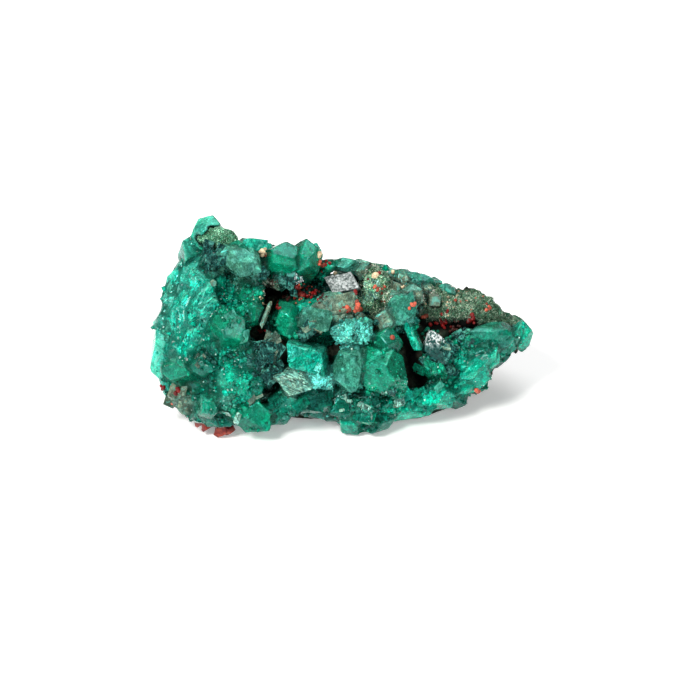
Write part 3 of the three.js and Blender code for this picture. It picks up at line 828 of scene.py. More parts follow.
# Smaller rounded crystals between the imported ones, on the front of the solids: (u, v, sunk, half sizes
# along, across and out, turn in degrees, look).
LUMPS = [
    (-25.6, 6.4, 0.8, 2.6, 1.3, 1.3, 62, "glassy"), (-26.6, 2.4, 0.9, 2.8, 1.3, 1.4, 80, "glassy"),
    (-24.2, 9.6, 0.9, 2.4, 1.2, 1.3, 58, "glassy"), (-22.6, 12.6, 0.9, 2.6, 1.3, 1.3, 58, "streaked"),
    (-20.4, 5.6, 0.9, 2.0, 1.0, 1.2, 50, "bright"), (-21.4, -1.8, 0.9, 2.0, 1.1, 1.1, 50, "bright"),
    (-19.4, -8.6, 0.9, 2.2, 1.5, 1.3, 20, "bright"), (-17.6, -6.2, 1.0, 1.7, 1.4, 1.3, 70, "bright"),
    (-14.4, -9.4, 1.0, 1.9, 1.3, 1.2, 40, "bright"), (-18.6, -10.8, 1.0, 1.6, 1.3, 1.2, 10, "green"),
    (-16.0, -11.6, 1.0, 1.8, 1.2, 1.2, 30, "deep"), (-12.4, -10.8, 1.0, 1.6, 1.0, 1.1, 20, "deep"),
    (-6.4, -11.6, 1.0, 1.8, 1.0, 1.1, 10, "deep"), (-2.0, -13.0, 0.8, 1.5, 0.9, 1.0, 0, "deep"),
    (3.0, -13.2, 0.9, 1.8, 1.0, 1.1, -10, "green"), (8.0, -9.4, 0.9, 1.5, 1.0, 1.1, 15, "green"),
    (10.2, -11.6, 0.9, 1.8, 1.0, 1.1, 20, "bright"), (15.2, -8.0, 0.9, 2.2, 1.3, 1.3, 30, "bright"),
    (18.6, -8.2, 0.9, 2.4, 1.2, 1.2, 38, "bright"), (21.6, -5.0, 0.9, 2.6, 1.2, 1.2, 42, "bright"),
    (24.6, -2.6, 0.9, 2.0, 1.0, 1.0, 42, "bright"), (7.6, 0.6, 0.7, 1.8, 1.3, 1.2, 80, "glassy"),
    (7.2, 4.6, 0.6, 1.7, 1.5, 1.3, 40, "grey"), (9.6, 6.6, 0.6, 1.6, 1.2, 1.2, 10, "grey"),
    (10.8, 3.4, 0.5, 1.5, 1.5, 1.2, 90, "grey"), (12.2, 5.8, 0.6, 1.5, 1.2, 1.2, 0, "glassy"),
    (8.2, 8.2, 0.9, 1.5, 1.0, 1.1, -15, "glassy"), (10.8, 8.0, 0.9, 1.3, 0.9, 1.0, -10, "green"),
    (13.8, 7.2, 0.9, 1.4, 0.9, 1.0, -30, "glassy"), (16.0, 6.2, 0.9, 1.3, 0.8, 0.9, -30, "grey"),
    (5.6, 9.2, 0.9, 1.5, 0.9, 1.0, -5, "glassy"), (-1.6, 9.8, 0.9, 1.6, 1.0, 1.1, 0, "green"),
    (-12.6, 12.0, 0.9, 1.6, 1.0, 1.1, -30, "green"), (-16.4, 6.8, 0.8, 2.0, 1.0, 1.1, 20, "bright"),
    (-20.0, 8.2, 0.8, 1.8, 1.1, 1.1, 50, "misty"), (-15.6, 3.6, 0.9, 1.4, 1.2, 1.2, 0, "bright"),
    (-16.9, 11.4, 0.2, 2.2, 1.6, 1.6, 0, "misty"), (-15.6, 12.2, 0.6, 2.0, 1.3, 1.5, -20, "green"),
    (-17.6, 9.6, 0.2, 2.0, 1.6, 1.5, 30, "misty"), (-18.9, 12.3, 0.5, 1.7, 1.5, 1.7, 0, "misty"),
    (-1.2, -0.2, 0.4, 1.3, 1.1, 1.2, 20, "frosted"), (0.9, 0.6, 0.3, 1.6, 1.2, 1.2, 0, "frosted"),
    (3.0, -0.6, 0.5, 1.4, 1.2, 1.2, 60, "frosted"), (0.6, -2.2, 0.6, 1.6, 1.0, 1.1, -20, "frosted"),
    (3.2, 1.0, 0.4, 1.1, 1.0, 1.0, 30, "glassy"), (22.6, -3.4, 0.8, 4.6, 1.6, 1.2, 38, "bright"),
    (-23.6, 3.6, 0.9, 5.4, 2.0, 1.5, 63, "streaked"), (-21.4, 4.0, 0.8, 4.2, 1.5, 1.4, 60, "streaked"),
    (-25.6, 0.8, 0.9, 4.8, 1.4, 1.3, 66, "glassy"), (-23.0, -1.6, 0.9, 3.8, 1.6, 1.4, 58, "streaked"),
    (7.4, 6.3, 0.4, 2.6, 2.0, 1.1, 0, "grey"), (9.9, 5.0, 0.3, 2.4, 2.0, 1.1, 30, "grey"),
    (8.4, 3.0, 0.2, 2.9, 2.7, 1.3, 80, "glassy"), (11.9, 5.7, 0.3, 1.8, 1.6, 1.0, 0, "grey"),
    (9.6, 7.8, 0.6, 2.6, 1.3, 1.1, -8, "glassy"), (-3.2, 8.4, 0.4, 1.3, 1.3, 1.4, 30, "bright"),
    (-2.4, 9.6, 0.4, 1.2, 1.2, 1.2, 0, "green"), (-4.4, 7.2, 0.3, 1.4, 1.0, 1.2, 0, "deep"),
    (12.8, 7.2, 0.7, 2.0, 1.0, 1.1, -24, "glassy"), (13.2, 4.6, 0.3, 1.3, 1.1, 0.9, -20, "grey"),
    (-24.8, -3.6, 0.7, 2.0, 0.9, 0.9, 50, "glassy"), (-19.6, -0.8, 0.8, 1.8, 1.0, 1.0, 45, "bright"),
    (-22.0, -7.6, 0.8, 2.2, 1.6, 1.2, 10, "green"), (-18.6, -3.0, 0.8, 1.6, 1.2, 1.1, 0, "bright"),
    (21.4, -1.4, 0.5, 5.2, 1.9, 1.3, 8, "smooth"), (20.0, -5.0, 0.7, 4.4, 1.5, 1.3, 40, "bright"),
    (17.4, -4.2, 0.7, 2.2, 1.6, 1.2, 20, "bright"), (16.2, -6.4, 0.8, 2.6, 1.6, 1.3, 30, "bright"),
]
FAR_OUT = 60.0  # where rays towards the display face start


def front_of(shells):
    """A function of u and v that gives the n of the shells' front there and the way it faces, or None."""
    trees = [BVHTree.FromPolygons(points.tolist(), tris.tolist()) for points, tris in shells]

    def front(u, v):
        start = Vector(off_face(u, v, FAR_OUT))
        hits = [hit for hit in (tree.ray_cast(start, Vector(-OUT)) for tree in trees) if hit[0] is not None]
        if not hits:
            return None
        _, way, _, distance = min(hits, key=lambda hit: hit[3])
        return FAR_OUT - distance, np.array(way)

    return front


def standing(form, u, v, n, sizes, turn, tilt=(0.0, 0.0)):
    """A form at a place on the display face, its X turned from u towards v, then tilted to u and to v."""
    shape, faces = form
    angle = math.radians(turn)
    along = math.cos(angle) * RIGHT + math.sin(angle) * UP
    across = math.cos(angle) * UP - math.sin(angle) * RIGHT
    out = OUT + tilt[0] * RIGHT + tilt[1] * UP
    return off_face(u, v, n) + (shape * sizes) @ np.stack([along, across, out / np.linalg.norm(out)]), faces


def dioptase_crust(material):
    """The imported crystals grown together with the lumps. It gives the shell and each triangle's look."""
    cad_points, cad_tris = cad_shell("dioptase_crust")
    middles = cad_points[cad_tris].mean(1)
    free = [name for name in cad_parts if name.endswith("_crystal") or name.startswith("slope")]
    socket = near(["matrix"], MATRIX_GAP)(middles) | near(free, SOCKET_GAP)(middles)
    cut = socket | (middles[:, 2] < BASE_CUT)
    crystal = crystals_of(cad_points, cad_tris, cut)
    looks = looks_of(cad_points, cad_tris, crystal, cut)

    front = front_of([(cad_points, cad_tris), cad_shell("matrix")])
    parts = [(cad_points, cad_tris)]
    for u, v, sunk, *half, turn, look in LUMPS:
        found = front(u, v)
        level = found[0] if found else 0.0
        parts.append(standing(grain_form(), u, v, level - sunk, 2 * np.array(half), turn))
        crystal = np.concatenate([crystal, np.full(len(parts[-1][1]), len(looks))])
        looks.append(look)
    solids = joined(parts)
    points, tris, found = grown_together(*solids, gap_filled, CRUST_CELL, CRISP)
    tag, facing = crystal[found], face_normals(*solids)[0][found]

    rng = np.random.default_rng(3)
    grain = grain_of(points, tag, np.array([name in ("streaked", "fibrous") for name in looks]), rng)
    table = np.array([LOOK_TABLE[name] for name in looks])
    values = smoothed(table[tag], tris, 0.5, 2)
    values[:, :ROUGH] *= smoothed(facet_shade(facing, tag)[:, None], tris, 0.4, 1)
    # Valleys between the crystals get painted shade, less of it in the masses whose gaps have grown shut.
    mass = np.clip(gap_filled(points) - 0.3, 0, 0.7)
    valley = clamped(bend_of(points, tris, 8) / 0.22) ** 2 * (1 - 0.6 * mass)
    # Convex edges get a painted highlight, and tops that face up a painted sheen.
    edge = clamped(-bend_of(points, tris, 3) / 0.06)
    values = with_painted_sheen(values, smoothed(facing, tris, 0.4, 1), edge)

    large, _ = broken(grain, 2.6, 40)
    small, _ = broken(grain, 0.9, 45)
    drawn = smooth_noise(grain * [1, 1, 0.15], 0.5, 47)
    height = values[:, RELIEF] * (large + 0.6 * small) + 0.06 * values[:, STREAKS] * drawn

    points = pulled_in(raised(points, tris, height))
    points[:, 2] = np.maximum(points[:, 2], 0)
    # Painted shade: darker in cavities behind the front, in the hollows and in the valleys.
    deep = cavity(points, point_normals(points, tris))
    light = (1 - 0.5 * deep) * (1 - 0.9 * hollow(points) * clamped(0.3 + 2 * deep)) * (1 - 0.55 * valley)
    add_crystals("dioptase_crystals", points, tris, material, ["dioptase_crust"], values, light, grain)
    return points, tris, np.array(looks, object)[tag[tris[:, 0]]]


def pulled_in(points):
    """Points moved a little down and in at the right tip."""
    u, _, _ = on_face(points)
    return points - clamped((u - 23) / 4)[:, None] * (0.4 * RIGHT + 0.7 * UP)


# Tints to be blended, from those for a share of 0 to those for a share of 1.
ROCK_TINTS = np.array([linear(58, 58, 48), linear(96, 100, 84), linear(60, 88, 70), linear(126, 124, 106)])
MOSS_TINTS = np.array([linear(20, 34, 22), linear(84, 118, 84), linear(60, 132, 104), linear(186, 206, 180)])


def paler(points):
    """How much paler the needles and the rock are at a place, most in the middle of the ridge's left end."""
    u, v, _ = on_face(points)
    return 1 + 1.3 * clamped(1.6 - np.hypot(u - 3.8, v - 5.8) / 2.2)[:, None]


def matrix_rock(material):
    """The rock, broken all over: mossy on its slope, with painted shade in its cracks and cavities that is
    nearly black in the hollows, and rougher at the back.
    """
    points, tris = split_long_edges(*cad_shell("matrix"), ROCK_FINEST)
    points = smoothed(points, tris, 0.4, 2)
    chips, chip_edge = broken(points, 1.3, 61)
    slabs, slab_edge = broken(points, 3.4, 63)
    # Painted shade along the edges between chips and between slabs.
    crack_shade = clamped(0.5 + 1.6 * np.minimum(chip_edge, 1.4 * slab_edge))
    facing = point_normals(points, tris) @ OUT
    front, back = clamped(3 * facing + 0.5), clamped(-2 * facing - 0.6)
    lumps = 0.3 * smooth_noise(points, 2.6, 60) + 0.12 * smooth_noise(points, 0.9, 66)
    rough = (0.45 * slabs + 0.3 * chips + lumps) * (1 + 0.9 * back)
    points = raised(points, tris, rough * clamped(points[:, 2] / 0.6))

    share = 0.5 + 0.5 * smooth_noise(points, 1.6, 70) + 0.25 * smooth_noise(points, 0.6, 71)
    share = share + 0.4 * (1 - front) * (chips + 0.5 * slabs)
    ways = point_normals(points, tris)
    u, v, _ = on_face(points)
    mossy = front * clamped(u - 2) * clamped(v - 1)
    # Painted shade in cavities, less of it under the moss, and nearly black in the hollows.
    light = (1 - 0.97 * cavity(points, ways) * (1 - 0.6 * mossy)) * (1 - 0.97 * front * hollow(points))
    # The painted crack shade darkens the rock's colour, and the rock is darker still where it faces out of
    # the display face.
    tint = blended(ROCK_TINTS, share) * (crack_shade * (1 - 0.6 * front))[:, None]
    tint = tint + mossy[:, None] * (0.5 * blended(MOSS_TINTS, share) - tint)
    tint = tint * light[:, None] * paler(points)

    points = pulled_in(points)
    points[:, 2] = np.maximum(points[:, 2], 0)
    add_piece("matrix_rock", points, tris, material, "matrix_rock", ["matrix"], tint=tint)
    return points, tris


# ---- Small crystals, needles and grains, as joined copies of small closed meshes ----


def prism_form():
    """A six-sided dioptase prism of height 1 that ends in three rhombs, and is flat at its root."""
    ring = [(0.42 * math.cos(a), 0.42 * math.sin(a)) for a in (math.radians(60 * i) for i in range(6))]
    points = [(x, y, -0.4) for x, y in ring]
    points += [(x, y, 0.42 if i % 2 else 0.18) for i, (x, y) in enumerate(ring)]
    points.append((0, 0, 0.6))
    faces = [(i, (i + 1) % 6, 6 + (i + 1) % 6) for i in range(6)]
    faces += [(i, 6 + (i + 1) % 6, 6 + i) for i in range(6)]
    for i in (1, 3, 5):
        low, before, after = 6 + (i + 1) % 6, 6 + i, 6 + (i + 2) % 6
        faces += [(12, before, low), (12, low, after)]
    faces += [(0, i + 1, i) for i in range(1, 5)]
    return np.array(points), np.array(faces)


def block_form():
    """A cleavage block, a skewed box of side 1."""
    corners = np.array(list(itertools.product((-0.5, 0.5), repeat=3)))
    skew = np.array([[1.0, 0.22, 0.1], [0.0, 0.95, 0.25], [0.15, 0.0, 0.9]])
    quads = [(0, 1, 3, 2), (4, 6, 7, 5), (0, 4, 5, 1), (2, 3, 7, 6), (0, 2, 6, 4), (1, 5, 7, 3)]
    faces = [(a, b, c) for a, b, c, _ in quads] + [(a, c, d) for a, _, c, d in quads]
    return corners @ skew, np.array(faces)


def needle_form():
    """A three-sided needle of height 1, pointed at both ends."""
    ring = [(0.5 * math.cos(a), 0.5 * math.sin(a), 0.1) for a in (0.0, 2.1, 4.2)]
    points = [(0, 0, -0.5), *ring, (0, 0, 0.5)]
    faces = [(0, 2, 1), (0, 3, 2), (0, 1, 3), (4, 1, 2), (4, 2, 3), (4, 3, 1)]
    return np.array(points), np.array(faces)


def grain_form():
    """A twenty-faced grain of width 1."""
    golden = (1 + 5**0.5) / 2
    rows = [(0, a, b * golden) for a in (-1, 1) for b in (-1, 1)]
    points = np.array([np.roll(row, turn) for turn in range(3) for row in rows])
    far = np.linalg.norm(points[:, None] - points[None], axis=2)
    faces = []
    # Neighbouring corners are 2 apart.
    for a, b, c in itertools.combinations(range(12), 3):
        if max(far[a, b], far[b, c], far[a, c]) < 2.1:
            out = np.dot(np.cross(points[b] - points[a], points[c] - points[a]), points[a])
            faces.append((a, b, c) if out > 0 else (a, c, b))
    return points / np.linalg.norm(points[0]) * 0.5, np.array(faces)


def scattered(points, tris, weight, count, rng):
    """Places at random on a shell, the surface's direction there, and the triangle of each."""
    normals, areas = face_normals(points, tris)
    chance = areas * weight
    picked = rng.choice(len(tris), count, p=chance / chance.sum())
    a, b = rng.random((2, count, 1))
    flip = (a + b) > 1
    a, b = np.where(flip, 1 - a, a), np.where(flip, 1 - b, b)
    corner = points[tris[picked]]
    place = corner[:, 0] + a * (corner[:, 1] - corner[:, 0]) + b * (corner[:, 2] - corner[:, 0])
    return place, normals[picked], picked


def copies(form, places, ways, sizes, rng):
    """Copies of a form at places, their Z along ways and turned at random, and the copy of each point.

    The sizes of each copy are across, across and along.
    """
    shape, faces = form
    side = unit(np.cross(ways, rng.normal(size=ways.shape)))
    axes = np.stack([side, np.cross(ways, side), ways], 1)
    points = places[:, None] + (shape[None] * sizes[:, None]) @ axes
    tris = faces[None] + len(shape) * np.arange(len(places))[:, None, None]
    return points.reshape(-1, 3), tris.reshape(-1, 3), np.repeat(np.arange(len(places)), len(shape))


def joined(parts):
    """Several tuples of points, triangles and values of each point, as one."""
    starts = np.cumsum([0] + [len(part[0]) for part in parts])
    tris = np.vstack([part[1] + start for part, start in zip(parts, starts)])
    rest = [np.concatenate([part[i] for part in parts]) for i in range(2, len(parts[0]))]
    return np.vstack([part[0] for part in parts]), tris, *rest


# Where small crystals overgrow the large ones thickly: (u, v, reach).
SUGARY = [
    (-17.0, 4.2, 2.2), (-20.5, -3.5, 1.2), (-17.5, -4.5, 1.8), (-15.0, -8.0, 2.0), (3.0, -10.5, 2.0),
    (2.8, 0.4, 1.4), (7.5, -10.2, 2.2), (11.0, -9.0, 2.2), (1.5, 0.0, 2.2), (17.5, -2.2, 1.6),
    (15.5, -3.6, 1.4), (-3.0, 9.2, 1.4), (-5.8, 6.5, 1.0), (13.0, -7.2, 2.0), (-12.6, 6.6, 1.6),
    (17.0, 0.2, 1.2), (10.6, 0.4, 1.0), (-16.5, -10.5, 1.6),
]
DRUSE_COUNT = 2800
# The colour of the tiniest druse crystals, pale so that they stand for painted glints.
PAINTED_GLINT = linear(170, 214, 198)
DRUSE_FLAWS = (0.15, 0.3, 0.2, 0.2)  # clear, chips, streaks and veils


def druse(points, tris, looks, material):
    """Small crystals that overgrow the large ones, thickest in sugary patches and in the gaps."""
    rng = np.random.default_rng(8)
    middles = points[tris].mean(1)
    u, v, _ = on_face(middles)
    sugary = np.max([clamped(1.4 - np.hypot(u - a, v - b) / reach) for a, b, reach in SUGARY], axis=0)
    shows = (looks != "cut") & (middles[:, 2] > 0.5) & (face_normals(points, tris)[0] @ OUT > 0.55)
    weight = (0.05 + sugary + 0.3 * cavity(middles)) * shows
    place, way, picked = scattered(points, tris, weight, DRUSE_COUNT, rng)
    size = 0.3 + 0.6 * rng.random(DRUSE_COUNT) ** 2.0
    # A fifth of the druse crystals are tiny and pale: painted glints.
    glint_speck = rng.random(DRUSE_COUNT) < 0.2
    size[glint_speck] *= 0.35
    # They are smaller near the top and where the surface turns away, to keep the outline clean.
    size *= np.clip((10.5 - on_face(place)[1]) / 3, 0.4, 1) * np.clip(2.5 * (way @ OUT) - 1, 0.35, 1)
    way = unit(way + 0.45 * rng.normal(size=way.shape))
    stretch = [np.ones(DRUSE_COUNT), rng.uniform(0.8, 1.1, DRUSE_COUNT), rng.uniform(0.9, 1.4, DRUSE_COUNT)]
    sizes = size[:, None] * np.stack(stretch, 1)
    # A random brightness for each, with painted shade in cavities and in the hollows.
    light = rng.uniform(0.5, 1.5, DRUSE_COUNT) * (1 - 0.6 * cavity(place)) * (1 - 0.8 * hollow(place))
    values = np.array([LOOK_TABLE[name] for name in looks[picked]])
    values[:, CLEAR:RELIEF] = DRUSE_FLAWS
    values[glint_speck, :ROUGH] = PAINTED_GLINT
    parts = []
    prisms = rng.random(DRUSE_COUNT) < 0.6
    for form, rows in ((prism_form(), prisms), (block_form(), ~prisms)):
        made, faces, owner = copies(form, place[rows], way[rows], sizes[rows], rng)
        parts.append((made, faces, values[rows][owner], light[rows][owner]))
    made, faces, values, light = joined(parts)
    add_crystals("dioptase_druse", made, faces, material, (), values, light, made, smooth=False)


def apart(points, tris):
    """A mesh whose triangles share no corners, so that each may have a colour of its own."""
    return points[tris].reshape(-1, 3), np.arange(3 * len(tris)).reshape(-1, 3)


def ball_form():
    """A ball of width 1."""
    points, faces = split_long_edges(*grain_form(), 0.4)
    return unit(points) * 0.5, faces


# Single crystals that stand out between the others: (u, v, lift, length, width, thickness, turn, tilt to u,
# tilt to v, look, form).
BLOCKS = [
    (4.6, -10.5, 0.8, 1.5, 1.1, 1.0, 60, 0.2, 0.2, "bright", "prism"),
    (8.0, -10.9, 0.7, 1.6, 1.1, 1.0, 10, 0.1, 0.4, "pale", "block"),
    (10.9, -5.9, 0.2, 2.1, 1.3, 1.2, -35, 0.3, 0.1, "green", "block"),
    (-12.2, -10.4, 0.6, 2.0, 0.7, 0.8, 15, 0.1, 0.3, "pale", "prism"),
    (-5.9, -0.7, 0.2, 2.2, 1.9, 1.6, 20, -0.2, 0.1, "dark", "block"),
    (-14.9, -1.0, 0.3, 0.8, 2.0, 1.2, -8, 0.3, 0.1, "glassy", "block"),
    (7.0, -9.2, 0.6, 1.8, 1.4, 1.2, 5, 0.2, 0.3, "dark", "prism"),
    (10.5, -9.6, 0.6, 1.4, 1.2, 1.1, 30, -0.2, 0.3, "green", "block"),
    (12.5, -11.6, 0.4, 2.2, 1.2, 1.2, 10, 0.1, 0.1, "deep", "block"),
    (0.6, -10.6, 0.7, 1.6, 0.6, 0.8, -15, 0.1, 0.4, "pale", "prism"),
    (2.8, -11.4, 0.7, 1.8, 0.6, 0.8, -30, 0.2, 0.3, "pale", "block"),
    (-17.0, 1.9, 0.2, 1.6, 1.3, 0.9, 20, 0.0, 0.3, "glassy", "block"),
    (9.4, 0.2, 0.3, 1.1, 3.0, 1.0, 20, -0.3, 0.1, "bright", "prism"),
    (-25.6, -10.4, 0.6, 1.0, 1.7, 1.0, 35, 0.2, 0.1, "grey", "block"),
    (-24.2, -9.3, 0.6, 0.9, 1.6, 1.0, -15, 0.1, 0.4, "grey", "block"),
    (-19.6, 6.9, 0.2, 1.2, 1.4, 1.0, 30, 0.2, 0.2, "grey", "prism"),
    (5.9, 8.9, 0.1, 1.1, 1.0, 0.9, 40, 0.0, 0.2, "green", "block"),
    (-16.0, -13.2, 0.5, 1.3, 0.9, 0.9, 60, 0.1, 0.3, "pale", "block"),
    (-8.9, -13.0, 0.4, 1.6, 0.9, 0.9, 25, 0.1, 0.3, "glassy", "prism"),
    (14.0, -8.6, 0.6, 1.5, 1.1, 1.0, 40, 0.1, 0.1, "glassy", "block"),
    (2.6, 2.2, 0.1, 1.7, 1.1, 1.1, 0, 0.2, 0.0, "dark", "block"),
    (-15.4, 10.0, 0.5, 6.8, 5.2, 3.2, -41, 0.1, 0.14, "misty", "prism"),
    (-2.2, 3.2, 0.2, 7.4, 2.6, 2.4, 8, -0.05, 0.4, "grey", "block"),
    (-4.4, 1.6, 0.2, 4.6, 3.4, 2.2, -20, -0.2, 0.1, "misty", "block"),
    (22.2, -0.6, 0.5, 8.6, 2.8, 1.8, -2, 0.05, 0.3, "smooth", "prism"),
    (9.0, 3.2, 0.5, 3.4, 3.2, 1.6, 20, 0.1, 0.3, "glassy", "block"),
    (-13.6, 12.5, 0.2, 3.6, 1.7, 1.6, -14, 0.0, 0.4, "milky", "block"),
    (4.6, 1.2, 0.1, 1.3, 1.2, 1.0, 30, 0.2, 0.0, "dark", "prism"),
]
CUTS = 9  # that break the corners off each of them
# The share of a block's reach that a cut leaves at least. Those longer than LARGE are broken more.
KEPT_LARGE, KEPT_SMALL = 0.7, 0.88
LARGE = 3


def hewn(points, faces, kept, relief, rng):
    """A block with rough faces, and with its corners broken off by flat cuts at random."""
    points, faces = split_long_edges(points, faces, SMALL_FINEST)
    away = points - points.mean(0)
    for way in unit(rng.normal(size=(CUTS, 3))):
        reach = away @ way
        over = np.maximum(reach - rng.uniform(kept, 0.95) * reach.max(), 0)
        away = away - over[:, None] * way
    points = points.mean(0) + away
    rough = relief * (broken(points, 1.1, 97)[0] + 0.5 * smooth_noise(points, 0.8, 98))
    return raised(points, faces, rough), faces


def blocks(shells, material):
    """The single crystals of BLOCKS, on the front of the shells."""
    front = front_of(shells)
    rng = np.random.default_rng(63)
    parts = []
    forms = {"prism": prism_form(), "block": block_form()}
    for i, (u, v, lift, *sizes, turn, to_u, to_v, look, form) in enumerate(BLOCKS):
        level = front(u, v)[0] + lift - 0.3 * sizes[2]
        made, faces = standing(forms[form], u, v, level, sizes, turn, (to_u, to_v))
        kept = KEPT_LARGE if max(sizes) > LARGE else KEPT_SMALL
        made, faces = apart(*hewn(made, faces, kept, 0.01 + LOOK_TABLE[look][RELIEF], rng))
        # Faces of the block that face up get a painted sheen.
        values = with_painted_sheen(np.tile(LOOK_TABLE[look], (len(made), 1)), point_normals(made, faces))
        parts.append((made, faces, values, made + 7.3 * i))
    points, tris, values, grain = joined(parts)
    # Painted shade in cavities.
    light = 1 - 0.6 * cavity(points)
    add_crystals("single_crystals", points, tris, material, (), values, light, grain, smooth=False)
    return points, tris


# Bunches of shards, where dark crystals are broken up: (u, v, reach, count, shortest, longest, turn, look).
SHARDS = [
    (-12.0, -3.4, 1.8, 10, 1.4, 3.2, 60, "dark"), (-10.4, -6.2, 1.3, 7, 1.2, 2.6, 40, "dark"),
    (-11.4, -2.6, 1.6, 9, 1.2, 2.6, 50, "grey"), (-4.0, 0.8, 1.6, 7, 0.8, 2.0, 30, "grey"),
    (15.2, -3.2, 1.0, 7, 0.8, 2.0, -40, "dark"), (14.8, -2.2, 0.9, 4, 0.6, 1.6, -40, "grey"),
    (-4.6, -11.2, 2.2, 10, 1.2, 2.6, 10, "deep"), (3.0, -11.6, 2.6, 12, 1.2, 2.6, 0, "deep"),
    (9.4, -10.6, 2.0, 8, 1.0, 2.2, 20, "bright"), (5.8, -10.4, 2.4, 8, 0.6, 1.4, 0, "pale"),
    (-9.6, -11.4, 2.2, 8, 1.2, 2.4, 20, "deep"), (-12.6, -10.0, 1.5, 7, 0.8, 1.6, 30, "grey"),
    (1.0, -10.6, 2.4, 8, 0.5, 1.3, 0, "pale"), (15.6, -2.6, 1.2, 8, 0.8, 2.0, -35, "dark"),
    (-14.0, -4.4, 0.9, 3, 0.8, 1.4, 50, "dark"), (-19.4, 11.0, 1.7, 12, 0.8, 2.4, 70, "dark"),
    (-16.8, 11.0, 1.0, 4, 1.0, 2.0, 40, "dark"), (-18.6, 10.4, 1.6, 7, 0.8, 1.8, 70, "misty"),
    (-4.6, 1.0, 1.8, 9, 0.8, 2.0, 30, "dark"), (-8.2, 7.2, 1.6, 8, 1.0, 2.2, 80, "dark"),
    (-21.6, -4.6, 0.8, 3, 0.8, 1.6, 45, "grey"), (14.4, -4.8, 2.0, 14, 0.8, 2.4, -40, "dark"),
    (12.0, -3.8, 1.1, 4, 0.8, 1.8, -60, "dark"), (18.0, -1.0, 1.2, 4, 0.6, 1.6, 30, "dark"),
    (-25.2, -10.2, 1.2, 5, 1.0, 2.2, 60, "grey"), (2.4, -10.8, 2.4, 10, 0.5, 1.2, 0, "dark"),
    (-11.8, -9.6, 1.4, 6, 0.8, 1.6, 20, "grey"), (-12.0, 8.6, 1.1, 5, 0.6, 1.4, 20, "dark"),
    (0.4, -1.2, 1.6, 12, 0.5, 1.2, 30, "frosted"), (2.6, -0.2, 1.4, 8, 0.5, 1.2, 70, "frosted"),
    (3.8, 5.4, 1.8, 70, 0.5, 1.1, 70, "pale"), (3.6, 6.6, 1.1, 12, 0.3, 0.7, 70, "pale"),
    (6.4, 7.6, 1.0, 8, 0.3, 0.8, 0, "grey"), (-3.4, -7.0, 1.5, 10, 0.6, 1.5, 40, "frosted"),
    (15.8, -3.4, 1.2, 6, 0.6, 1.5, -40, "pale"),
]


def shards(shells, material):
    """The bunches of SHARDS, on the front of the shells."""
    front = front_of(shells)
    rng = np.random.default_rng(51)
    parts = []
    for u, v, reach, count, shortest, longest, turn, look in SHARDS:
        for _ in range(count):
            a, b = np.array([u, v]) + reach * math.sqrt(rng.random()) * unit(rng.normal(size=(1, 2)))[0]
            found = front(a, b)
            if found is None:
                continue
            length = rng.uniform(shortest, longest)
            sizes = length * np.array([1.0, rng.uniform(0.35, 0.8), rng.uniform(0.25, 0.7)])
            tilt = rng.normal(0, 0.35, 2)
            level = found[0] + rng.uniform(-0.3, 0.0) * length
            made, faces = apart(*standing(block_form(), a, b, level, sizes, turn + rng.normal(0, 14), tilt))
            values = LOOK_TABLE[look] * np.append(np.full(3, rng.uniform(0.4, 1.8)), np.ones(6))
            # Faces that face up get a painted sheen.
            values = with_painted_sheen(np.tile(values, (len(made), 1)), point_normals(made, faces))
            parts.append((made, faces, values, made + rng.uniform(0, 30)))
    points, tris, values, grain = joined(parts)
    points[:, 2] = np.maximum(points[:, 2], 0)
    # Painted shade in cavities and in the hollows.
    light = (1 - 0.6 * cavity(points)) * (1 - 0.7 * hollow(points))
    add_crystals("shards", points, tris, material, (), values, light, grain, smooth=False)


# ---- The free crystals ----

# The look and the material slot of each crystal that stands free.
FREE_LOOKS = {
    "blade_crystal": ("grey", "pale_crystal"),
    "slope_crystal_1": ("grey", "dark_crystal"),
    "slope_crystal_2": ("grey", "dark_crystal"),
    "slope_crystal_3": ("grey", "dark_crystal"),
    "slope_crystal_4": ("glassy", "dioptase"),
    "slope_crystal_5": ("glassy", "dioptase"),
}
# Those that are smaller than their solids: the shares that the width and then the whole size are brought to.
SLIMMED = {"blade_crystal": (0.55, 0.8)}
SPECKLES = np.array([linear(38, 50, 50), linear(98, 110, 108), linear(142, 152, 150), linear(180, 186, 186)])
LACE = np.array([linear(3, 50, 48), linear(8, 74, 68), linear(96, 128, 124), linear(226, 232, 232)])


def veins(points, size, salt):
    """A net of thin veins: 1 in the middle of a vein, 0 away from it."""
    first = np.abs(smooth_noise(points, size, salt))
    second = np.abs(smooth_noise(points, 0.6 * size, salt + 1))
    return clamped(1 - 4 * np.minimum(first, second))


def narrowed(points, share):
    """Points drawn in across their second longest way, about their middle."""
    middle = points.mean(0)
    across = np.linalg.svd(points - middle, full_matrices=False)[2][1]
    return points - (1 - share) * np.outer((points - middle) @ across, across)


def resized(points, size, degrees=0.0):
    """Points brought to a share of their size about their middle, and turned from u towards v."""
    middle = points.mean(0)
    angle = math.radians(degrees)
    along, up, out = size * np.stack([RIGHT, UP, OUT]) @ (points - middle).T
    u = math.cos(angle) * along - math.sin(angle) * up
    v = math.sin(angle) * along + math.cos(angle) * up
    return middle + np.stack([u, v, out], 1) @ np.stack([RIGHT, UP, OUT])


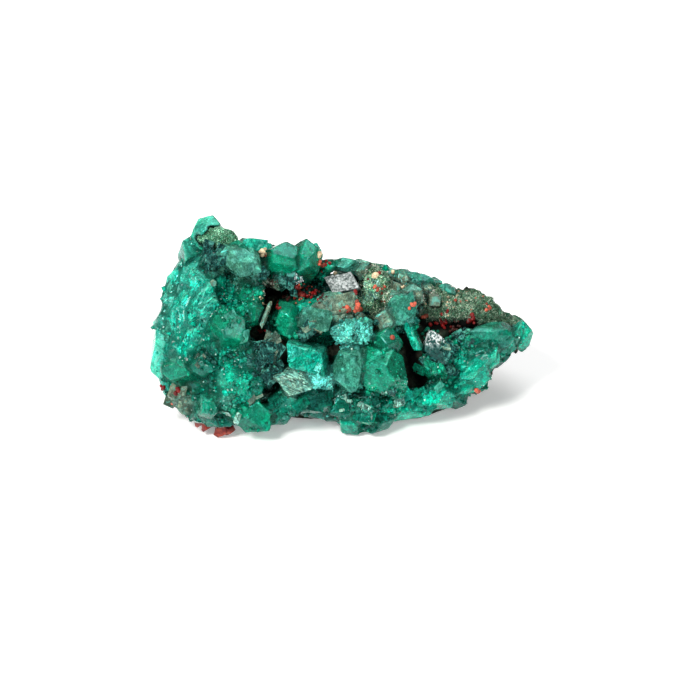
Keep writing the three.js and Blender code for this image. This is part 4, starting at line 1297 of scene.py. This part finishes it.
def free_crystals(material):
    """The crystals of FREE_LOOKS, each on a solid of its own."""
    for i, (name, (look, slot)) in enumerate(FREE_LOOKS.items()):
        points, tris = split_long_edges(*cad_shell(name), SMALL_FINEST)
        points = raised(points, tris, 0.05 * broken(points, 1.1, 90 + i)[0])
        if name in SLIMMED:
            width, size = SLIMMED[name]
            points = resized(narrowed(points, width), size)
        values = np.tile(LOOK_TABLE[look], (len(points), 1))
        light, grain = np.ones(len(points)), points + 9.1 * i
        add_crystals(name + "_form", points, tris, material, [name], values, light, grain, slot)


def speckled_crystal(material):
    """The pale crystal that is speckled all over, a little smaller than its solid and turned."""
    name = "speckled_crystal"
    points, tris = split_long_edges(*cad_shell(name), SPECKLE_FINEST)
    height, edge = broken(points, 0.36, 71)
    points = raised(points, tris, 0.08 * height)
    share = 0.62 + 0.45 * height + 0.5 * smooth_noise(points, 0.3, 73) - 0.4 * (edge < 0.15)
    points = resized(points, 0.9, 22) - 0.1 * UP
    tint = blended(SPECKLES, share)
    add_piece(name + "_form", points, tris, material, "pale_crystal", [name], tint=tint)


def lace_crystal(material):
    """The dark crystal with a net of pale veins, densest on its upper part."""
    name = "lace_crystal"
    points, tris = split_long_edges(*cad_shell(name), SPECKLE_FINEST)
    rise = 0.16 * smooth_noise(points, 1.3, 75) + 0.1 * broken(points, 0.8, 76)[0]
    net = veins(points, 0.5, 77)
    points = raised(points, tris, rise + 0.08 * net)
    _, v, _ = on_face(points)
    upper = np.clip((v + 3.4) / 1.6, 0.1, 1)
    share = 0.1 + 0.12 * upper + 0.3 * smooth_noise(points, 0.5, 79) + net * upper
    tint = blended(LACE, share)
    add_piece(name + "_form", points, tris, material, "dark_crystal", [name], tint=tint)


# ---- Needles, and small red and cream grains ----

ROCK_NEEDLES = 20000
CRYSTAL_NEEDLES = 5000
CAP_NEEDLES = 6000
# Where needles also grow over the crystals, as (u, v, reach).
MOSSY = [(4.4, 5.6, 2.2), (4.6, 8.0, 1.6), (2.2, 4.4, 1.0), (15.4, 4.2, 3.0), (-11.2, 6.2, 1.2)]


def needles(name, shell, weight, count, lengths, light, material, salt):
    """Needles that lie loosely over a shell where weight isn't zero. light brightens or tints them."""
    points, tris = shell
    rng = np.random.default_rng(salt)
    place, way, _ = scattered(points, tris, weight, count, rng)
    lying = unit(rng.normal(size=way.shape) * 0.9 + way * 0.3)
    length = rng.uniform(*lengths, count)
    width = rng.uniform(0.08, 0.15, count)
    sizes = np.stack([width, width, length], 1)
    made, faces, owner = copies(needle_form(), place + 0.08 * way, lying, sizes, rng)
    share = clamped(0.55 + 0.3 * smooth_noise(place, 1.1, salt) + rng.normal(0, 0.35, count))
    # A random brightness for each needle, with painted shade in the hollows.
    lit = rng.uniform(0.4, 1.7, count) * (1 - 0.95 * hollow(place))
    tint = blended(MOSS_TINTS, share) * light * paler(place) * lit[:, None]
    made[:, 2] = np.maximum(made[:, 2], 0.02)
    add_piece(name, made, faces, material, "moss_coating", smooth=False, tint=tint[owner])


# The needles over the crystals are paler and greyer than those on the slope, and the cap's are greener.
COLUMN_LIGHT = np.array([1.85, 1.35, 1.6])
CAP_LIGHT = np.array([0.95, 1.4, 1.35])


def moss(crust, rock, material):
    """The needles over some of the crystals, and those on the bare slope of the rock."""
    u, v, n = on_face(crust[0][crust[1]].mean(1))
    mossy = np.max([clamped(1.3 - np.hypot(u - a, v - b) / reach) for a, b, reach in MOSSY], axis=0)
    needles("crystal_moss", crust, mossy * (n > -4), CRYSTAL_NEEDLES, (0.3, 0.7), COLUMN_LIGHT, material, 21)
    middles = rock[0][rock[1]].mean(1)
    u, v, n = on_face(middles)
    facing = face_normals(*rock)[0] @ OUT
    slope = (n > -6) * (facing > 0.1) * (u > 2) * (v > 0.5)
    weight = slope * (middles[:, 2] > 0.4) * (1 - hollow(middles))
    needles("matrix_moss", rock, weight, ROCK_NEEDLES, (0.4, 1.1), 1.08, material, 22)


def moss_cap(coating, material):
    """The crystal that is coated with needles."""
    name = "moss_capped_crystal"
    points, tris = split_long_edges(*cad_shell(name), SMALL_FINEST)
    rough = 0.18 * broken(points, 0.8, 81)[0] + 0.15 * smooth_noise(points, 1.2, 82)
    points = resized(raised(points, tris, rough), 0.92)
    tint = blended(MOSS_TINTS, 0.45 + 0.4 * smooth_noise(points, 0.5, 83)) * CAP_LIGHT
    add_piece(name + "_form", points, tris, coating, "moss_coating", [name], tint=tint)
    shell, everywhere = (points, tris), np.ones(len(tris))
    needles("cap_moss", shell, everywhere, CAP_NEEDLES, (0.25, 0.5), CAP_LIGHT, material, 23)


GRAIN_TINTS = {
    "red": linear(116, 8, 8),
    "orange": linear(180, 82, 60),
    "cream": linear(204, 182, 148),
    "brown": linear(56, 20, 14),
    "green": linear(0, 120, 92),
}
# Bunches of small grains: (u, v, reach, count, smallest, largest, tint).
GRAINS = [
    (-6.6, 5.6, 1.0, 12, 0.5, 0.9, "red"), (-4.6, 5.4, 1.4, 14, 0.3, 0.6, "red"),
    (-8.6, 4.9, 0.9, 8, 0.3, 0.6, "brown"), (-3.7, 4.9, 1.0, 8, 0.3, 0.5, "brown"),
    (-6.0, 5.2, 1.8, 24, 0.2, 0.4, "orange"), (-6.6, 5.0, 2.0, 26, 0.2, 0.4, "green"),
    (2.0, 3.6, 0.9, 9, 0.6, 0.9, "orange"), (0.6, 3.2, 0.4, 2, 0.6, 0.8, "orange"),
    (5.5, 8.2, 0.5, 2, 0.5, 0.8, "red"), (5.3, 6.2, 0.9, 9, 0.4, 0.7, "orange"),
    (5.6, 4.4, 0.6, 5, 0.3, 0.6, "orange"), (4.6, 8.0, 0.2, 1, 1.1, 1.2, "cream"),
    (-1.6, 8.4, 0.4, 3, 0.5, 0.8, "cream"), (8.6, 6.7, 0.4, 3, 0.4, 0.7, "cream"),
    (7.2, 8.8, 0.3, 2, 0.4, 0.6, "cream"), (-3.9, 11.4, 0.6, 4, 0.5, 1.0, "cream"),
    (-3.4, 9.6, 0.8, 7, 0.4, 0.7, "orange"), (-2.9, 9.8, 0.7, 6, 0.4, 0.6, "red"),
    (1.6, 5.7, 0.5, 4, 0.4, 0.7, "red"), (3.0, 7.2, 0.8, 5, 0.3, 0.5, "red"),
    (7.0, -1.2, 0.2, 1, 0.7, 0.8, "orange"), (-12.2, 11.8, 0.7, 9, 0.4, 0.7, "cream"),
    (-11.8, 11.0, 0.5, 5, 0.3, 0.5, "orange"), (-9.9, 3.6, 0.8, 9, 0.3, 0.6, "red"),
    (-10.8, 1.2, 0.9, 12, 0.3, 0.5, "green"), (-12.4, -0.2, 0.6, 6, 0.3, 0.5, "red"),
    (-11.2, 6.8, 1.4, 20, 0.2, 0.4, "brown"), (9.8, 3.6, 0.7, 5, 0.4, 0.7, "orange"),
    (14.4, 1.6, 2.0, 18, 0.3, 0.7, "red"), (12.0, 1.9, 0.7, 5, 0.4, 0.8, "orange"),
    (19.2, 1.6, 0.8, 10, 0.4, 0.8, "red"), (16.5, 0.3, 1.4, 14, 0.3, 0.7, "brown"),
    (21.6, 3.2, 0.6, 4, 0.4, 0.7, "orange"), (18.2, 5.2, 3.4, 16, 0.2, 0.5, "orange"),
    (15.0, 4.0, 3.0, 12, 0.2, 0.5, "cream"), (17.6, 6.6, 0.5, 3, 0.4, 0.6, "red"),
    (-25.0, -8.8, 0.7, 7, 0.4, 0.8, "red"), (-27.2, -8.6, 0.5, 4, 0.4, 0.7, "red"),
    (-26.0, -11.0, 0.6, 4, 0.4, 0.8, "orange"), (19.9, -8.9, 0.3, 3, 0.5, 0.8, "orange"),
    (-11.2, -6.0, 0.2, 2, 0.3, 0.5, "orange"), (13.0, -0.6, 1.4, 16, 0.3, 0.7, "green"),
    (15.6, -1.2, 1.0, 14, 0.3, 0.7, "green"), (-3.0, -9.6, 0.8, 6, 0.3, 0.5, "brown"),
    (-12.6, 4.6, 1.2, 8, 0.2, 0.4, "cream"),
]


def grains(shells, material):
    """The bunches of GRAINS, on the front of the shells."""
    front = front_of(shells)
    rng = np.random.default_rng(31)
    places, ways, sizes, tints = [], [], [], []
    for u, v, reach, count, smallest, largest, tint in GRAINS:
        for _ in range(count):
            a, b = np.array([u, v]) + reach * rng.uniform(-1, 1) * unit(rng.normal(size=(1, 2)))[0]
            found = front(a, b)
            if found is None:
                continue
            level, way = found
            places.append(off_face(a, b, level) + 0.12 * way)
            ways.append(way)
            sizes.append(rng.uniform(smallest, largest) * rng.uniform(0.8, 1.15, 3))
            tints.append(GRAIN_TINTS[tint] * rng.uniform(0.5, 1.5))
    points, tris, owner = copies(ball_form(), np.array(places), np.array(ways), np.array(sizes), rng)
    add_piece("small_grains", points, tris, material, "red_crystal", tint=np.array(tints)[owner])


def red_crystals(material):
    """The larger red crystals, which have solids of their own."""
    for name in [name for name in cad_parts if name.startswith("red_crystals")]:
        points, tris = split_long_edges(*cad_shell(name), SMALL_FINEST)
        points = smoothed(points, tris, 0.5, 2)
        points = raised(points, tris, 0.05 * broken(points, 0.5, 95)[0])
        share = 0.25 + 0.6 * smooth_noise(points, 0.6, 96)
        points[:, 2] = np.maximum(points[:, 2], 0)
        tint = 0.8 * blended(np.array([GRAIN_TINTS["red"], GRAIN_TINTS["orange"]]), share)
        add_piece(name + "_form", points, tris, material, "red_crystal", [name], tint=tint)


# ---- The scene ----

add_camera()
add_lights()
add_floor()
crystal = crystal_material("dioptase")
rock = coloured_material("rock", roughness=0.75, gloss=0.1, bump_size=0.3, contrast=0.6)
needle = coloured_material("needles", roughness=0.5, gloss=0.4, bump_size=0.1, contrast=0.2)
small_crystal = coloured_material("small_crystals", roughness=0.25, gloss=0.35, bump_size=0.15, contrast=0.4)
*crust_shell, crust_looks = dioptase_crust(crystal)
druse(*crust_shell, crust_looks, crystal)
rock_shell = matrix_rock(rock)
block_shell = blocks([crust_shell, rock_shell], crystal)
shards([crust_shell, rock_shell, cad_shell("lace_crystal")], crystal)
free_crystals(crystal)
speckled_crystal(small_crystal)
lace_crystal(small_crystal)
moss(crust_shell, rock_shell, needle)
moss_cap(rock, needle)
red_crystals(small_crystal)
grains([crust_shell, rock_shell, block_shell], small_crystal)
